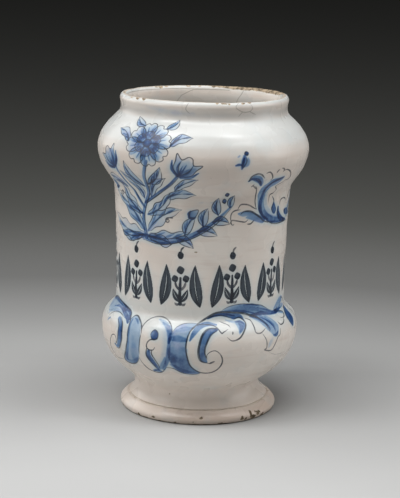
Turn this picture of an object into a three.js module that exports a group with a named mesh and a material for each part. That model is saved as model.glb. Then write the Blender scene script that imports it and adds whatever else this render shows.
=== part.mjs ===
// A waisted pharmacy jar of tin-glazed earthenware, 280 mm tall, without a cover.
// It is built as a jar of this size is thrown: a foot, a lower body with the jar's floor, a waist,
// an upper body and a neck are made apart and luted together leather-hard. Each seam is a half
// lap, so the sections centre on each other, and a thin ring of slip fills it.
// Millimetres. The jar stands on z = 0 with its axis on z.

import * as THREE from "three";

// Heights of the thrown sections, from seam to seam
const footHeight = 24;
const lowerBodyHeight = 73.4;
const waistHeight = 102.4;
const upperBodyHeight = 64.4;
const neckHeight = 13.4;

// Outer radii
const footSlabRadius = 70;
const footStepRadius = 62.6;
const footTopRadius = 56;
const lowerSwellRadius = 87.3;
const waistRadius = 75;
const waistFlare = 2.8; // what the waist gains by its top
const upperSwellRadius = 92.6;
const neckRadius = 72.4;
const lipOverhang = 1.4; // how far the lip stands out past the neck

// Height of the fullest ring of each swelling, above the foot of its section
const lowerSwellRise = 49.4;
const upperSwellRise = 31.8;

// How far each wall of a swelling holds upright before it turns: as it leaves the section's foot,
// as it comes up to the fullest ring, as it leaves that, and as it comes in to the section's top
const lowerHold = { foot: 8.4, below: 33.2, above: 18.2, top: 6.8 };
const upperHold = { foot: 3.4, below: 15.4, above: 19.4, top: 3.8 };
const waistHold = 72; // how far the waist rises before it flares

// The foot: a slab with a rounded edge and a bevelled top, an incised step, and a hollow under it
const slabUndercut = 2.5;
const slabWidest = 4; // height of the slab's widest ring
const slabEdge = 2.4; // how far its edge holds upright above that
const slabBevelHeight = 11.2;
const slabBevelRadius = 63.4;
const stepHeight = 11.8;
const stemHold = 8.1; // how far down from its top the stem holds upright
const footingWidth = 9.5;
const footTopWidth = 11;
const hollowTurn = 12; // height where the hollow's wall steepens

// The lip: a flat land where a cover rests, rounded outwards and inwards, over a groove
const rimLand = 1.6;
const lipRound = 3;
const lipDepth = 4.5;
const throatRoundDepth = 3.5;
const grooveHeight = 3;

// Walls, floor and luted seams
const wall = 6.4;
const floorThickness = 7.4;
const slip = 0.6;
const lap = 3;

// Fineness of the turned pieces
const segments = 48;
const swellSteps = 8;
const roundSteps = 4;

// What follows from the sizes above: radii, and heights counted up from the table
const waistTopRadius = waistRadius + waistFlare;
const rimRadius = neckRadius + lipOverhang;
const lowerFoot = footHeight + slip;
const lowerSeam = lowerFoot + lowerBodyHeight;
const waistFoot = lowerSeam + slip;
const waistSeam = waistFoot + waistHeight;
const upperFoot = waistSeam + slip;
const upperSeam = upperFoot + upperBodyHeight;
const jarHeight = upperSeam + slip + neckHeight;
const floorUnderside = lowerFoot + lap;
const floorTop = floorUnderside + floorThickness;

const tinGlaze = new THREE.MeshStandardMaterial({ color: 0xe4e1db, roughness: 0.16, metalness: 0 });
const firedSlip = new THREE.MeshStandardMaterial({ color: 0xc9a67c, roughness: 0.85, metalness: 0 });

const point = (radius, height) => new THREE.Vector2(radius, height);

// A wall that leaves its lower ring and reaches its upper ring upright, like a drawn-out S
function swayed(low, lowHold, high, highHold) {
  const leaving = point(low.x, low.y + lowHold);
  const arriving = point(high.x, high.y - highHold);
  return new THREE.CubicBezierCurve(low, leaving, arriving, high);
}

// Both faces of a swelling section, from its foot to its top: out to the fullest ring and back in
function swelling(foot, fullest, top, hold) {
  const curves = [
    swayed(foot, hold.foot, fullest, hold.below),
    swayed(fullest, hold.above, top, hold.top),
  ];
  return walled(curves, swellSteps);
}

// The outer points of a rising wall, and the inner ones set in square to them by the wall
function walled(curves, steps) {
  const outer = [];
  const inner = [];
  curves.forEach((curve, which) => {
    for (let i = which === 0 ? 0 : 1; i <= steps; i++) {
      const here = curve.getPoint(i / steps);
      const along = curve.getTangent(i / steps);
      outer.push(here);
      inner.push(point(here.x - wall * along.y, here.y + wall * along.x));
    }
  });
  return { outer, inner };
}

// The part of a rising outline above a height, starting where it crosses that height
function above(outline, height) {
  const next = outline.findIndex((p) => p.y > height);
  const [before, after] = [outline[next - 1], outline[next]];
  const share = (height - before.y) / (after.y - before.y);
  return [before.clone().lerp(after, share), ...outline.slice(next)];
}

// A quarter of an ellipse, anticlockwise from one of its four ends
function quarterRound(centre, width, height, fromAngle) {
  const toAngle = fromAngle + Math.PI / 2;
  const round = new THREE.EllipseCurve(centre.x, centre.y, width, height, fromAngle, toAngle);
  return round.getPoints(roundSteps);
}

// A luted half lap across a wall, at the height where the section below ends. That section keeps
// a tongue on the inner half of the wall, the one above a skirt on the outer half, and the slip
// lies between them.
function lutedSeam(height, outer, inner) {
  const middle = (outer + inner) / 2;
  const tongue = middle - slip / 2;
  const skirt = middle + slip / 2;
  const below = [
    point(outer, height),
    point(tongue, height),
    point(tongue, height + lap),
    point(inner, height + lap),
  ];
  const onTop = [
    point(inner, height + slip + lap),
    point(skirt, height + slip + lap),
    point(skirt, height + slip),
    point(outer, height + slip),
  ];
  return { below, onTop, ring: [...below, ...onTop].reverse() };
}

const seams = {
  foot: lutedSeam(footHeight, footTopRadius, footTopRadius - footTopWidth),
  lower: lutedSeam(lowerSeam, waistRadius, waistRadius - wall),
  waist: lutedSeam(waistSeam, waistTopRadius, waistTopRadius - wall),
  upper: lutedSeam(upperSeam, neckRadius, neckRadius - wall),
};

// A piece turned from an outline that runs anticlockwise, up the outside of the wall. An outline
// that starts on the axis also ends there, and any other one is closed on itself.
function turned(name, outline, material) {
  const closed = outline[0].x === 0 ? outline : [...outline, outline[0].clone()];
  const piece = new THREE.Mesh(new THREE.LatheGeometry(closed, segments), material);
  piece.name = name;
  return piece;
}

// The foot: a splayed stem on a slab with a bevelled edge, hollow underneath
function foot() {
  const footingOuter = footSlabRadius - slabUndercut;
  const footingInner = footingOuter - footingWidth;
  const hollowTop = footTopRadius - footTopWidth;
  const bevel = new THREE.QuadraticBezierCurve(
    point(footSlabRadius, slabWidest),
    point(footSlabRadius, slabWidest + slabEdge),
    point(slabBevelRadius, slabBevelHeight),
  );
  const splay = new THREE.QuadraticBezierCurve(
    point(footStepRadius, stepHeight),
    point(footTopRadius, footHeight - stemHold),
    point(footTopRadius, footHeight),
  );
  return turned(
    "foot",
    [
      ...quarterRound(point(footingOuter, slabWidest), slabUndercut, slabWidest, -Math.PI / 2),
      ...bevel.getPoints(roundSteps).slice(1),
      ...splay.getPoints(roundSteps),
      ...seams.foot.below.slice(1),
      point((hollowTop + footingInner) / 2, hollowTurn),
      point(footingInner, 0),
    ],
    tinGlaze,
  );
}

// The lower body: a full belly on a closed base, which is the floor of the jar
function lowerBody() {
  const { outer, inner } = swelling(
    point(footTopRadius, lowerFoot),
    point(lowerSwellRadius, lowerFoot + lowerSwellRise),
    point(waistRadius, lowerSeam),
    lowerHold,
  );
  return turned(
    "lower_body",
    [
      point(0, floorUnderside),
      ...seams.foot.onTop.slice(1, -1),
      ...outer,
      ...seams.lower.below.slice(1),
      ...above(inner, floorTop).reverse(),
      point(0, floorTop),
    ],
    tinGlaze,
  );
}

// The waist: a wall that rises straight and then widens a little towards the top
function waist() {
  const flare = new THREE.QuadraticBezierCurve(
    point(waistRadius, waistFoot),
    point(waistRadius, waistFoot + waistHold),
    point(waistTopRadius, waistSeam),
  );
  const { outer, inner } = walled([flare], roundSteps);
  return turned(
    "waist",
    [
      ...seams.lower.onTop,
      ...outer.slice(1, -1),
      ...seams.waist.below,
      ...inner.slice(1, -1).reverse(),
    ],
    tinGlaze,
  );
}

// The upper body: the fuller of the two swellings, drawn in sharply to the neck
function upperBody() {
  const { outer, inner } = swelling(
    point(waistTopRadius, upperFoot),
    point(upperSwellRadius, upperFoot + upperSwellRise),
    point(neckRadius, upperSeam),
    upperHold,
  );
  return turned(
    "upper_body",
    [
      ...seams.waist.onTop,
      ...outer.slice(1),
      ...seams.upper.below.slice(1),
      ...above(inner, upperFoot + lap).slice(1).reverse(),
    ],
    tinGlaze,
  );
}

// The neck: a groove for the tie of a cover, under a rounded lip with a narrow flat on top
function neck() {
  const landOuter = rimRadius - lipRound;
  const landInner = landOuter - rimLand;
  const throatRadius = neckRadius - wall;
  const lipCentre = point(landOuter, jarHeight - lipDepth);
  const throatCentre = point(landInner, jarHeight - throatRoundDepth);
  return turned(
    "neck",
    [
      ...seams.upper.onTop,
      point(neckRadius, upperSeam + slip + grooveHeight),
      ...quarterRound(lipCentre, lipRound, lipDepth, 0),
      ...quarterRound(throatCentre, landInner - throatRadius, throatRoundDepth, Math.PI / 2),
    ],
    tinGlaze,
  );
}

const jar = new THREE.Group();
jar.add(foot(), lowerBody(), waist(), upperBody(), neck());
for (const [which, seam] of Object.entries(seams)) {
  jar.add(turned(`${which}_slip_ring`, seam.ring, firedSlip));
}

// The outlines are turned about y, and the finished jar is stood up on z
jar.rotation.x = Math.PI / 2;

export default jar;
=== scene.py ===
"""A waisted pharmacy jar of tin-glazed earthenware painted in cobalt blue, on a pale studio floor.

The glazed wall is one surface: a profile of (radius, height) from the edge of the foot, up the
outside, over the lip and down the inside to the middle of the floor, turned about z. The jar's
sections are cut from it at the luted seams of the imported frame. The working arrays hold
millimetres, and the meshes metres. A place on the unrolled wall is (x, s): x is 80 mm times the
angle from the front, to the right, and s is the way up the profile from the foot of the waist,
both counted from PAINT_AT.
"""

import functools
import math
from types import SimpleNamespace

import bpy
import numpy as np
from mathutils import Matrix, Vector


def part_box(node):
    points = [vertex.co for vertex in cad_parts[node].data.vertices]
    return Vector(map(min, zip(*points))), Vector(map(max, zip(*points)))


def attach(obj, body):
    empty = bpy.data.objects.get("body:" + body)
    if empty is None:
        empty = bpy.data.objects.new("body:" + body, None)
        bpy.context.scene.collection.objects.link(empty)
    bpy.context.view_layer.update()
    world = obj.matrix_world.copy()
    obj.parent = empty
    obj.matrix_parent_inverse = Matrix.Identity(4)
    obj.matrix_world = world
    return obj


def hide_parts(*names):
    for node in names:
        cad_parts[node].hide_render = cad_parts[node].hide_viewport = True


bl_info = {
    "name": "Pharmacy jar",
    "version": (1, 0, 0),
    "blender": (4, 5, 0),
    "location": "View3D > Sidebar > Jar",
    "description": "Throws, glazes and paints a waisted pharmacy jar around its packed frame",
    "category": "Object",
}

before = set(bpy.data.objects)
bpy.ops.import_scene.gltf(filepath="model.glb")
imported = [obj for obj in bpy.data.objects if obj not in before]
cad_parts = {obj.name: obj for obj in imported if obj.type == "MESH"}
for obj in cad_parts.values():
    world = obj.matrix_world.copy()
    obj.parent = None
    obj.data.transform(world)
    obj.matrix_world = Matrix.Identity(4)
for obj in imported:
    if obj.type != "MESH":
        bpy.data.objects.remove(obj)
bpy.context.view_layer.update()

MM = 0.001
GIRTH_RADIUS = 80.0  # x is this many mm times the angle from the front
GIRTH = 2 * math.pi * GIRTH_RADIUS
PAINT_AT = (-0.6, 1.2)  # mm round from the front and up from the waist's foot

# Fineness: coarse cells round the jar, the steps that a painted or chipped cell is cut into, and in
# mm the height of the cells outside and inside and the steps of the profile
CELLS_ROUND = 240
FINE = 4
COLUMNS = CELLS_ROUND * FINE
OUTER_CELL = 2.1
INNER_CELL = 4.4
PROFILE_STEP = 0.1

# How far a layer may stray from a straight blend of its cell's corners before the cell is cut up.
# A line's layer holds how deep a place lies inside the line, in mm and never under LINE_FLOOR. It
# counts only over NEAR_LINE, and by LINE_MARGIN over that it always cuts up its cell.
TOLERANCE = {
    "wash": 0.06, "ink": 0.08, "bare": 0.12, "line": 0.2, "crack": 0.2, "out": 0.12, "up": 0.12,
}
LINE_FLOOR = -1.0
NEAR_LINE = -0.35
LINE_MARGIN = 0.2

# The layers that the glaze's material reads
PAINTED = ("wash", "ink", "line", "bare", "crack", "halo", "facing_up")

# The luted seams lie under these sections, with slip between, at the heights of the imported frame
SEAMED = ("lower_body", "waist", "upper_body", "neck")
SLIP = 0.6

# The wall's shape in mm, besides the sizes in the panel. Heights count from the table, and rises
# from the seam under a section. A hold is how far a wall tends straight up before it turns: as it
# leaves a seam, comes to the fullest ring, leaves that, and comes to the next seam.
SLAB_UNDERCUT = 2.5
SLAB_WIDEST = 4
SLAB_UPRIGHT = 6.4
STEP_CORNERS = ((1.1, 10.9), (-0.9, 10.9), (-1.0, 11.9))  # out from the step's radius, and height
STEM_FOOT = 12.1
STEM_UPRIGHT = 15.9
LOWER_RISE = 49.7
LOWER_HOLDS = (8.6, 33.2, 18.2, 7)
WAIST_HOLD = 72
UPPER_RISE = 32.1
UPPER_HOLDS = (3.6, 15.4, 19.4, 4)
GROOVE_HEIGHT = 3.3
LIP_ROUND = (3, 4.5)
RIM_LAND = 1.6
THROAT_ROUND = 6
LINED_FROM = 46  # the inside follows the outside over this height
LINED_SHORT = 0.5  # and up to this far under the neck
FLOOR_TOP = 35.0
FLOOR_ROUND = 9
SLOPE_POINTS = 20  # points that give the wall's slope above the floor
POLE = 2.0  # radius of the flat cap at the middle of the floor
FLOOR_RISE = 3.3  # from the seam up to the floor's underside
FOOTING_WIDTH = 9.5
HOLLOW_TURN = 12  # height where the hollow's wall steepens

# The glaze rounds corners SOFTER times as far inside the lip, where that comes on over LIP_FADE mm,
# and within CREASE_REACH mm of the two sharp creases
SOFTER = 6
LIP_FADE = 6
CREASE_REACH = 6


def linear(code):
    """An sRGB hex colour as linear light: (v + 0.055) / 1.055 to the power 2.4, or v / 12.92 if dark."""
    shares = [int(code[i : i + 2], 16) / 255 for i in (1, 3, 5)]
    return [v / 12.92 if v <= 0.04045 else ((v + 0.055) / 1.055) ** 2.4 for v in shares]


def length(name, about, mm):
    return bpy.props.FloatProperty(
        name=name, description=about, default=mm * MM, min=0, unit="LENGTH", precision=4
    )


def colour(name, about, code):
    return bpy.props.FloatVectorProperty(
        name=name, description=about, default=linear(code), size=3, min=0, max=1, subtype="COLOR"
    )


def share(name, about, value):
    return bpy.props.FloatProperty(
        name=name, description=about, default=value, min=0, max=1, subtype="FACTOR"
    )


def watts(name, about, value):
    return bpy.props.FloatProperty(name=name, description=about, default=value, min=0, unit="POWER")


def seam_under(node):
    """Height in mm of the middle of the slip under a packed section."""
    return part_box(node)[0][2] / MM - SLIP / 2


class JarSizes(bpy.types.PropertyGroup):
    height: length("Height", "From the table to the top of the lip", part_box("neck")[1][2] / MM)
    slab_radius: length("Foot slab radius", "Outer radius of the foot's slab", 70)
    step_radius: length("Foot step radius", "Radius at the incised step above the slab", 62.6)
    stem_radius: length("Stem radius", "Radius where the stem meets the lower body", 56)
    hollow_radius: length("Hollow radius", "Radius at the top of the hollow under the foot", 45)
    lower_swell: length("Lower swell radius", "Radius of the lower body's fullest ring", 87.3)
    waist_radius: length("Waist radius", "Radius of the foot of the waist", 75)
    waist_top: length("Waist top radius", "Radius of the top of the waist", 77.8)
    upper_swell: length("Upper swell radius", "Radius of the upper body's fullest ring", 92.6)
    neck_radius: length("Neck radius", "Radius of the groove under the lip", 72.4)
    rim_radius: length("Rim radius", "Radius of the lip", 73.8)
    wall: length("Wall", "Thickness of the thrown wall", 6.4)
    glaze_round: length("Glaze rounding", "How far the glaze rounds off each corner", 0.45)


class JarColours(bpy.types.PropertyGroup):
    glaze: colour("Glaze", "Tin glaze on the walls", "#EEE6DD")
    # settled glaze on what faces up, and painted shade that darkens those lamp-lit tops
    settled_glaze_and_shade: colour("Thick glaze", "Tin glaze where it settled, on what faces up", "#DADBD8")
    glaze_warm: colour("Warm glaze", "Thin tin glaze that lets the clay warm it", "#E1D3C8")
    # the stem's tone: thin glaze, lightened as painted light where the swelling above keeps light off it
    stem_glaze_and_light: colour("Stem glaze", "Thin tin glaze on the foot's stem", "#EEE2D7")
    # the slab's tone: thin glaze and painted shade, laid deeper towards the right
    slab_glaze_and_shade: colour("Foot glaze", "Thin tin glaze on the foot's slab", "#CFBDAF")
    glaze_pool: colour("Pooled glaze", "Tin glaze that ran together at a turn of the wall", "#D8D9D5")
    # painted shade in the tie groove under the lip
    groove_shade: colour("Groove glaze", "Tin glaze in the tie groove, greyed by handling", "#C6C3BE")
    glaze_cool: colour("Cool glaze", "Tin glaze tinged by the painting near it", "#C8D4D7")
    glaze_edge: colour("Edge glaze", "Glaze worn thin on a sharp edge", "#CFC0AD")
    wash_pale: colour("Pale wash", "Thinnest cobalt", "#A9BDCF")
    wash_middle: colour("Middle wash", "Cobalt at its usual strength", "#6E92B8")
    wash_violet: colour("Violet wash", "Thin cobalt where it fired towards violet", "#979DC4")
    wash_deep: colour("Deep wash", "Cobalt laid on twice", "#2F5387")
    wash_dark: colour("Dark wash", "Cobalt that has pooled", "#1B2E58")
    ink: colour("Ink", "Dark blue-black of the frieze", "#181F2B")
    ink_thin: colour("Thin ink", "The same where the brush ran dry", "#47525C")
    line: colour("Line", "Fine outlines in blue-black", "#262F3E")
    clay: colour("Clay", "Fired clay where the glaze is gone", "#B7A48A")
    # also painted shade on the bare clay low on the foot
    clay_dark: colour("Old clay", "Fired clay darkened by handling", "#5C4F3C")
    # also drawn along the incised step, as dirt and painted shade in it
    crack: colour("Crack", "Dirt in the fine cracks", "#8D857B")


class StageSettings(bpy.types.PropertyGroup):
    floor_near: colour("Floor", "Paper round and before the jar", "#C5C5C4")
    # painted shade: the paper's colour far from the jar, where the lamps fall off
    floor_far_shade: colour("Far floor", "Paper far behind the jar", "#4A4A48")
    backdrop: colour("Backdrop", "Tint of the dark paper in the distance", "#FBFCF4")
    left_power: watts("Left lamp", "Power of the low soft lamp on the left", 6)
    left_back_power: watts("Left back lamp", "Power of the soft lamp behind on the left", 7.2)
    right_power: watts("Right lamp", "Power of the large soft lamp on the right", 9)
    top_power: watts("Top lamp", "Power of the soft lamp overhead, on the right", 7.4)
    front_left_power: watts("Front left lamp", "Power of the lamp high in front on the left", 8.2)
    front_power: watts("Front lamp", "Power of the long soft lamp high in front", 19.3)
    room: share("Room light", "Strength of the even light from the dark room", 0.005)


# Profile of the wall


def bezier(*corners, steps=80):
    """Points of a Bézier curve: neighbours are mixed by the share t until one point is left."""
    t = np.linspace(0, 1, steps)[:, None]
    points = [np.array([corner], float) for corner in corners]
    while len(points) > 1:
        points = [a + (b - a) * t for a, b in zip(points, points[1:])]
    return points[0]


def swayed(low, hold_low, high, hold_high):
    """A wall that leaves one ring and reaches the next one upright, like a drawn-out S."""
    leaving = (low[0], low[1] + hold_low)
    arriving = (high[0], high[1] - hold_high)
    return bezier(low, leaving, arriving, high)


def quarter_round(centre, width, height, start, steps=30):
    """Points on a quarter of an ellipse: centre plus width by cosine and height by sine."""
    turn = start + np.linspace(0, math.pi / 2, steps)
    return np.column_stack((centre[0] + width * np.cos(turn), centre[1] + height * np.sin(turn)))


def evenly(path, step):
    """The same path with its points one step apart: both coordinates read off its length."""
    far = np.r_[0, np.cumsum(np.hypot(*np.diff(path, axis=0).T))]
    keep = np.r_[True, np.diff(far) > 1e-9]
    at = np.linspace(0, far[-1], int(round(far[-1] / step)) + 1)
    return np.column_stack([np.interp(at, far[keep], path[keep, i]) for i in (0, 1)])


def softened(values, reach):
    """Values along a line, each replaced by the bell-weighted mean of those around it."""
    half = max(1, int(round(3 * reach)))
    bell = np.exp(-0.5 * (np.arange(-half, half + 1) / reach) ** 2)
    padded = np.pad(values, half, mode="reflect", reflect_type="odd")
    return np.convolve(padded, bell / bell.sum(), mode="valid")


def swelling(foot, fullest, top, holds):
    """Both walls of a swelling: out to its fullest ring and back in."""
    out = swayed(foot, holds[0], fullest, holds[1])
    back_in = swayed(fullest, holds[2], top, holds[3])
    return np.vstack([out, back_in])


def outline(sizes):
    """The wall's profile. Arcs and Bézier curves are joined from the foot's edge to the lip, the
    inside is the outside set in by the wall, and a bell-weighted mean then rounds the corners."""
    mm = {key: getattr(sizes, key) / MM for key in JarSizes.__annotations__}
    lower_foot, waist_foot, upper_foot, neck_foot = (seam_under(node) for node in SEAMED)
    top, slab, step, stem = (mm[key] for key in ("height", "slab_radius", "step_radius", "stem_radius"))
    bevel_end, *incised = [(step + out, height) for out, height in STEP_CORNERS]
    lower_full = (mm["lower_swell"], lower_foot + LOWER_RISE)
    waist_low = (mm["waist_radius"], waist_foot)
    waist_high = (mm["waist_top"], upper_foot)
    upper_full = (mm["upper_swell"], upper_foot + UPPER_RISE)
    neck = mm["neck_radius"]
    lip_edge = mm["rim_radius"] - LIP_ROUND[0]
    land_edge = lip_edge - RIM_LAND
    outer = np.vstack([
        quarter_round((slab - SLAB_UNDERCUT, SLAB_WIDEST), SLAB_UNDERCUT, SLAB_WIDEST, -math.pi / 2),
        bezier((slab, SLAB_WIDEST), (slab, SLAB_UPRIGHT), bevel_end),
        incised,
        bezier((step, STEM_FOOT), (stem, STEM_UPRIGHT), (stem, lower_foot)),
        swelling((stem, lower_foot), lower_full, waist_low, LOWER_HOLDS),
        bezier(waist_low, (waist_low[0], waist_foot + WAIST_HOLD), waist_high),
        swelling(waist_high, upper_full, (neck, neck_foot), UPPER_HOLDS),
        [(neck, neck_foot + GROOVE_HEIGHT)],
        quarter_round((lip_edge, top - LIP_ROUND[1]), *LIP_ROUND, 0),
    ])
    outer = evenly(outer, PROFILE_STEP)
    way = np.gradient(outer, axis=0)
    way /= np.hypot(*way.T)[:, None]
    inner = outer + mm["wall"] * np.column_stack((-way[:, 1], way[:, 0]))
    followed = (outer[:, 1] > LINED_FROM) & (outer[:, 1] < neck_foot - LINED_SHORT)
    lining = inner[followed][::-1]
    ending, before = lining[-1], lining[-SLOPE_POINTS]
    slope = (ending[0] - before[0]) / (ending[1] - before[1])
    corner = (ending[0] - slope * (ending[1] - FLOOR_TOP), FLOOR_TOP)
    throat_width = land_edge - (neck - mm["wall"])
    inside = np.vstack([
        quarter_round((land_edge, top - THROAT_ROUND), throat_width, THROAT_ROUND, math.pi / 2),
        lining,
        bezier(ending, corner, (corner[0] - FLOOR_ROUND, FLOOR_TOP)),
        [(0, FLOOR_TOP)],
    ])
    whole = evenly(np.vstack([outer, inside]), PROFILE_STEP)
    rounding = mm["glaze_round"] / PROFILE_STEP
    fine = np.column_stack([softened(whole[:, i], rounding) for i in (0, 1)])
    soft = np.column_stack([softened(whole[:, i], SOFTER * rounding) for i in (0, 1)])
    far = np.arange(len(whole)) - fine[:, 1].argmax()
    inwards = np.clip(far * PROFILE_STEP / LIP_FADE - 0.5, 0, 1)
    creases = sum(np.exp(-(((fine[:, 1] - z) / CREASE_REACH) ** 2)) for z in (waist_foot, neck_foot))
    filled = np.clip(np.maximum(inwards, creases), 0, 1)[:, None]
    path = fine * (1 - filled) + soft * filled
    path[:, 1] = np.maximum(path[:, 1], 0)
    rise = path[:, 1].argmax()
    s = np.r_[0, np.cumsum(np.hypot(*np.diff(path, axis=0).T))]
    s -= np.interp(waist_foot, path[:rise, 1], s[:rise]) + PAINT_AT[1]
    return SimpleNamespace(s=s, r=path[:, 0], z=path[:, 1], rise=rise)


def stretches(line):
    """Where the wall is cut: for each section, its first and last place on the profile."""
    up = slice(0, line.rise)
    down = slice(line.rise, None)
    seams = [seam_under(node) for node in SEAMED]
    outside = [np.interp(z, line.z[up], line.s[up]) for z in seams]
    inside = [np.interp(-z, -line.z[down], line.s[down]) for z in seams[:0:-1]]
    middle = np.interp(-POLE, -line.r[down], line.s[down])
    marks = [line.s[0], *outside, *inside, middle]
    names = ("foot", *SEAMED, "upper_inside", "waist_inside", "lower_inside")
    return dict(zip(names, zip(marks, marks[1:])))


# Strokes of the brush on the unrolled wall


def curve(points, closed=False, steps=8):
    """A smooth path through given points: the Catmull-Rom blend of each four neighbours."""
    p = np.array(points, float)
    if closed:
        p = np.vstack([p[-1], p, p[0], p[1]])
    else:
        p = np.vstack([2 * p[0] - p[1], p, 2 * p[-1] - p[-2]])
    t = np.linspace(0, 1, steps, endpoint=False)[:, None]
    a, b, c, d = p[:-3, None], p[1:-2, None], p[2:-1, None], p[3:, None]
    out = 0.5 * (2 * b + (c - a) * t + (2 * a - 5 * b + 4 * c - d) * t**2
                 + (3 * b - a - 3 * c + d) * t**3)
    out = out.reshape(-1, 2)
    return np.vstack([out, p[-2]])


def nearest(path, x, s):
    """For each place: how far it is from the path, how far along the path its foot lies in mm,
    and the side it is on. It is dropped square on every straight stretch, and the nearest counts."""
    run = np.diff(path, axis=0)
    size = np.maximum(np.hypot(*run.T), 1e-9)
    before = np.r_[0, np.cumsum(size)[:-1]]
    gap_x = x[:, None] - path[None, :-1, 0]
    gap_s = s[:, None] - path[None, :-1, 1]
    t = np.clip((gap_x * run[:, 0] + gap_s * run[:, 1]) / size**2, 0, 1)
    off = np.hypot(gap_x - t * run[:, 0], gap_s - t * run[:, 1])
    best = off.argmin(axis=1)
    pick = (np.arange(len(x)), best)
    side = np.sign(run[best, 0] * gap_s[pick] - run[best, 1] * gap_x[pick])
    return off[pick], before[best] + t[pick] * size[best], side


def within(path, x, s):
    """True inside a closed path: a ray to the right crosses its stretches an odd number of times."""
    ax, ay = path[:-1].T
    bx, by = path[1:].T
    level = (ay > s[:, None]) != (by > s[:, None])
    rise = np.where(by == ay, 1e-9, by - ay)
    return ((level & (x[:, None] < (bx - ax) * (s[:, None] - ay) / rise + ax)).sum(1) % 2) == 1


def step_up(value, low, high):
    """Smooth step from 0 to 1: 3 t squared less 2 t cubed, t being the share from low to high."""
    t = np.clip((value - low) / (high - low), 0, 1)
    return t * t * (3 - 2 * t)


# Where each set of random draws starts
BRUSH_SEED = 100
FRIEZE_SEED = 7
THROWING_SEED = 11

# The brush and the pen: how wide each set of a brush's streaks is and how long they sway, in mm, how
# far they sway in radians, how far in from its edge colour pools in mm, how much fuller every pen
# line is drawn, and how soft the rim of a flake is in mm
STREAKS = (5.3, 8.1, 12.7)
STREAK_LENGTH = (14, 30)
STREAK_SWAY = 1.3
POOL_REACH = 0.9
PEN = 1.5
FLAKE_RIM = 0.3


def bristles(across, along, seed):
    """Streaks that a brush leaves, from 0 to 1: a few sines across it that drift slowly along it."""
    chance = np.random.default_rng(seed)
    total = np.zeros_like(across)
    for width in STREAKS:
        start, drift = chance.uniform(0, 2 * math.pi, 2)
        bend = np.sin(along / chance.uniform(*STREAK_LENGTH) + drift)
        total += np.sin(2 * math.pi * across / width + start + STREAK_SWAY * bend)
    return 0.5 + total / (2 * len(STREAKS))


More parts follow.
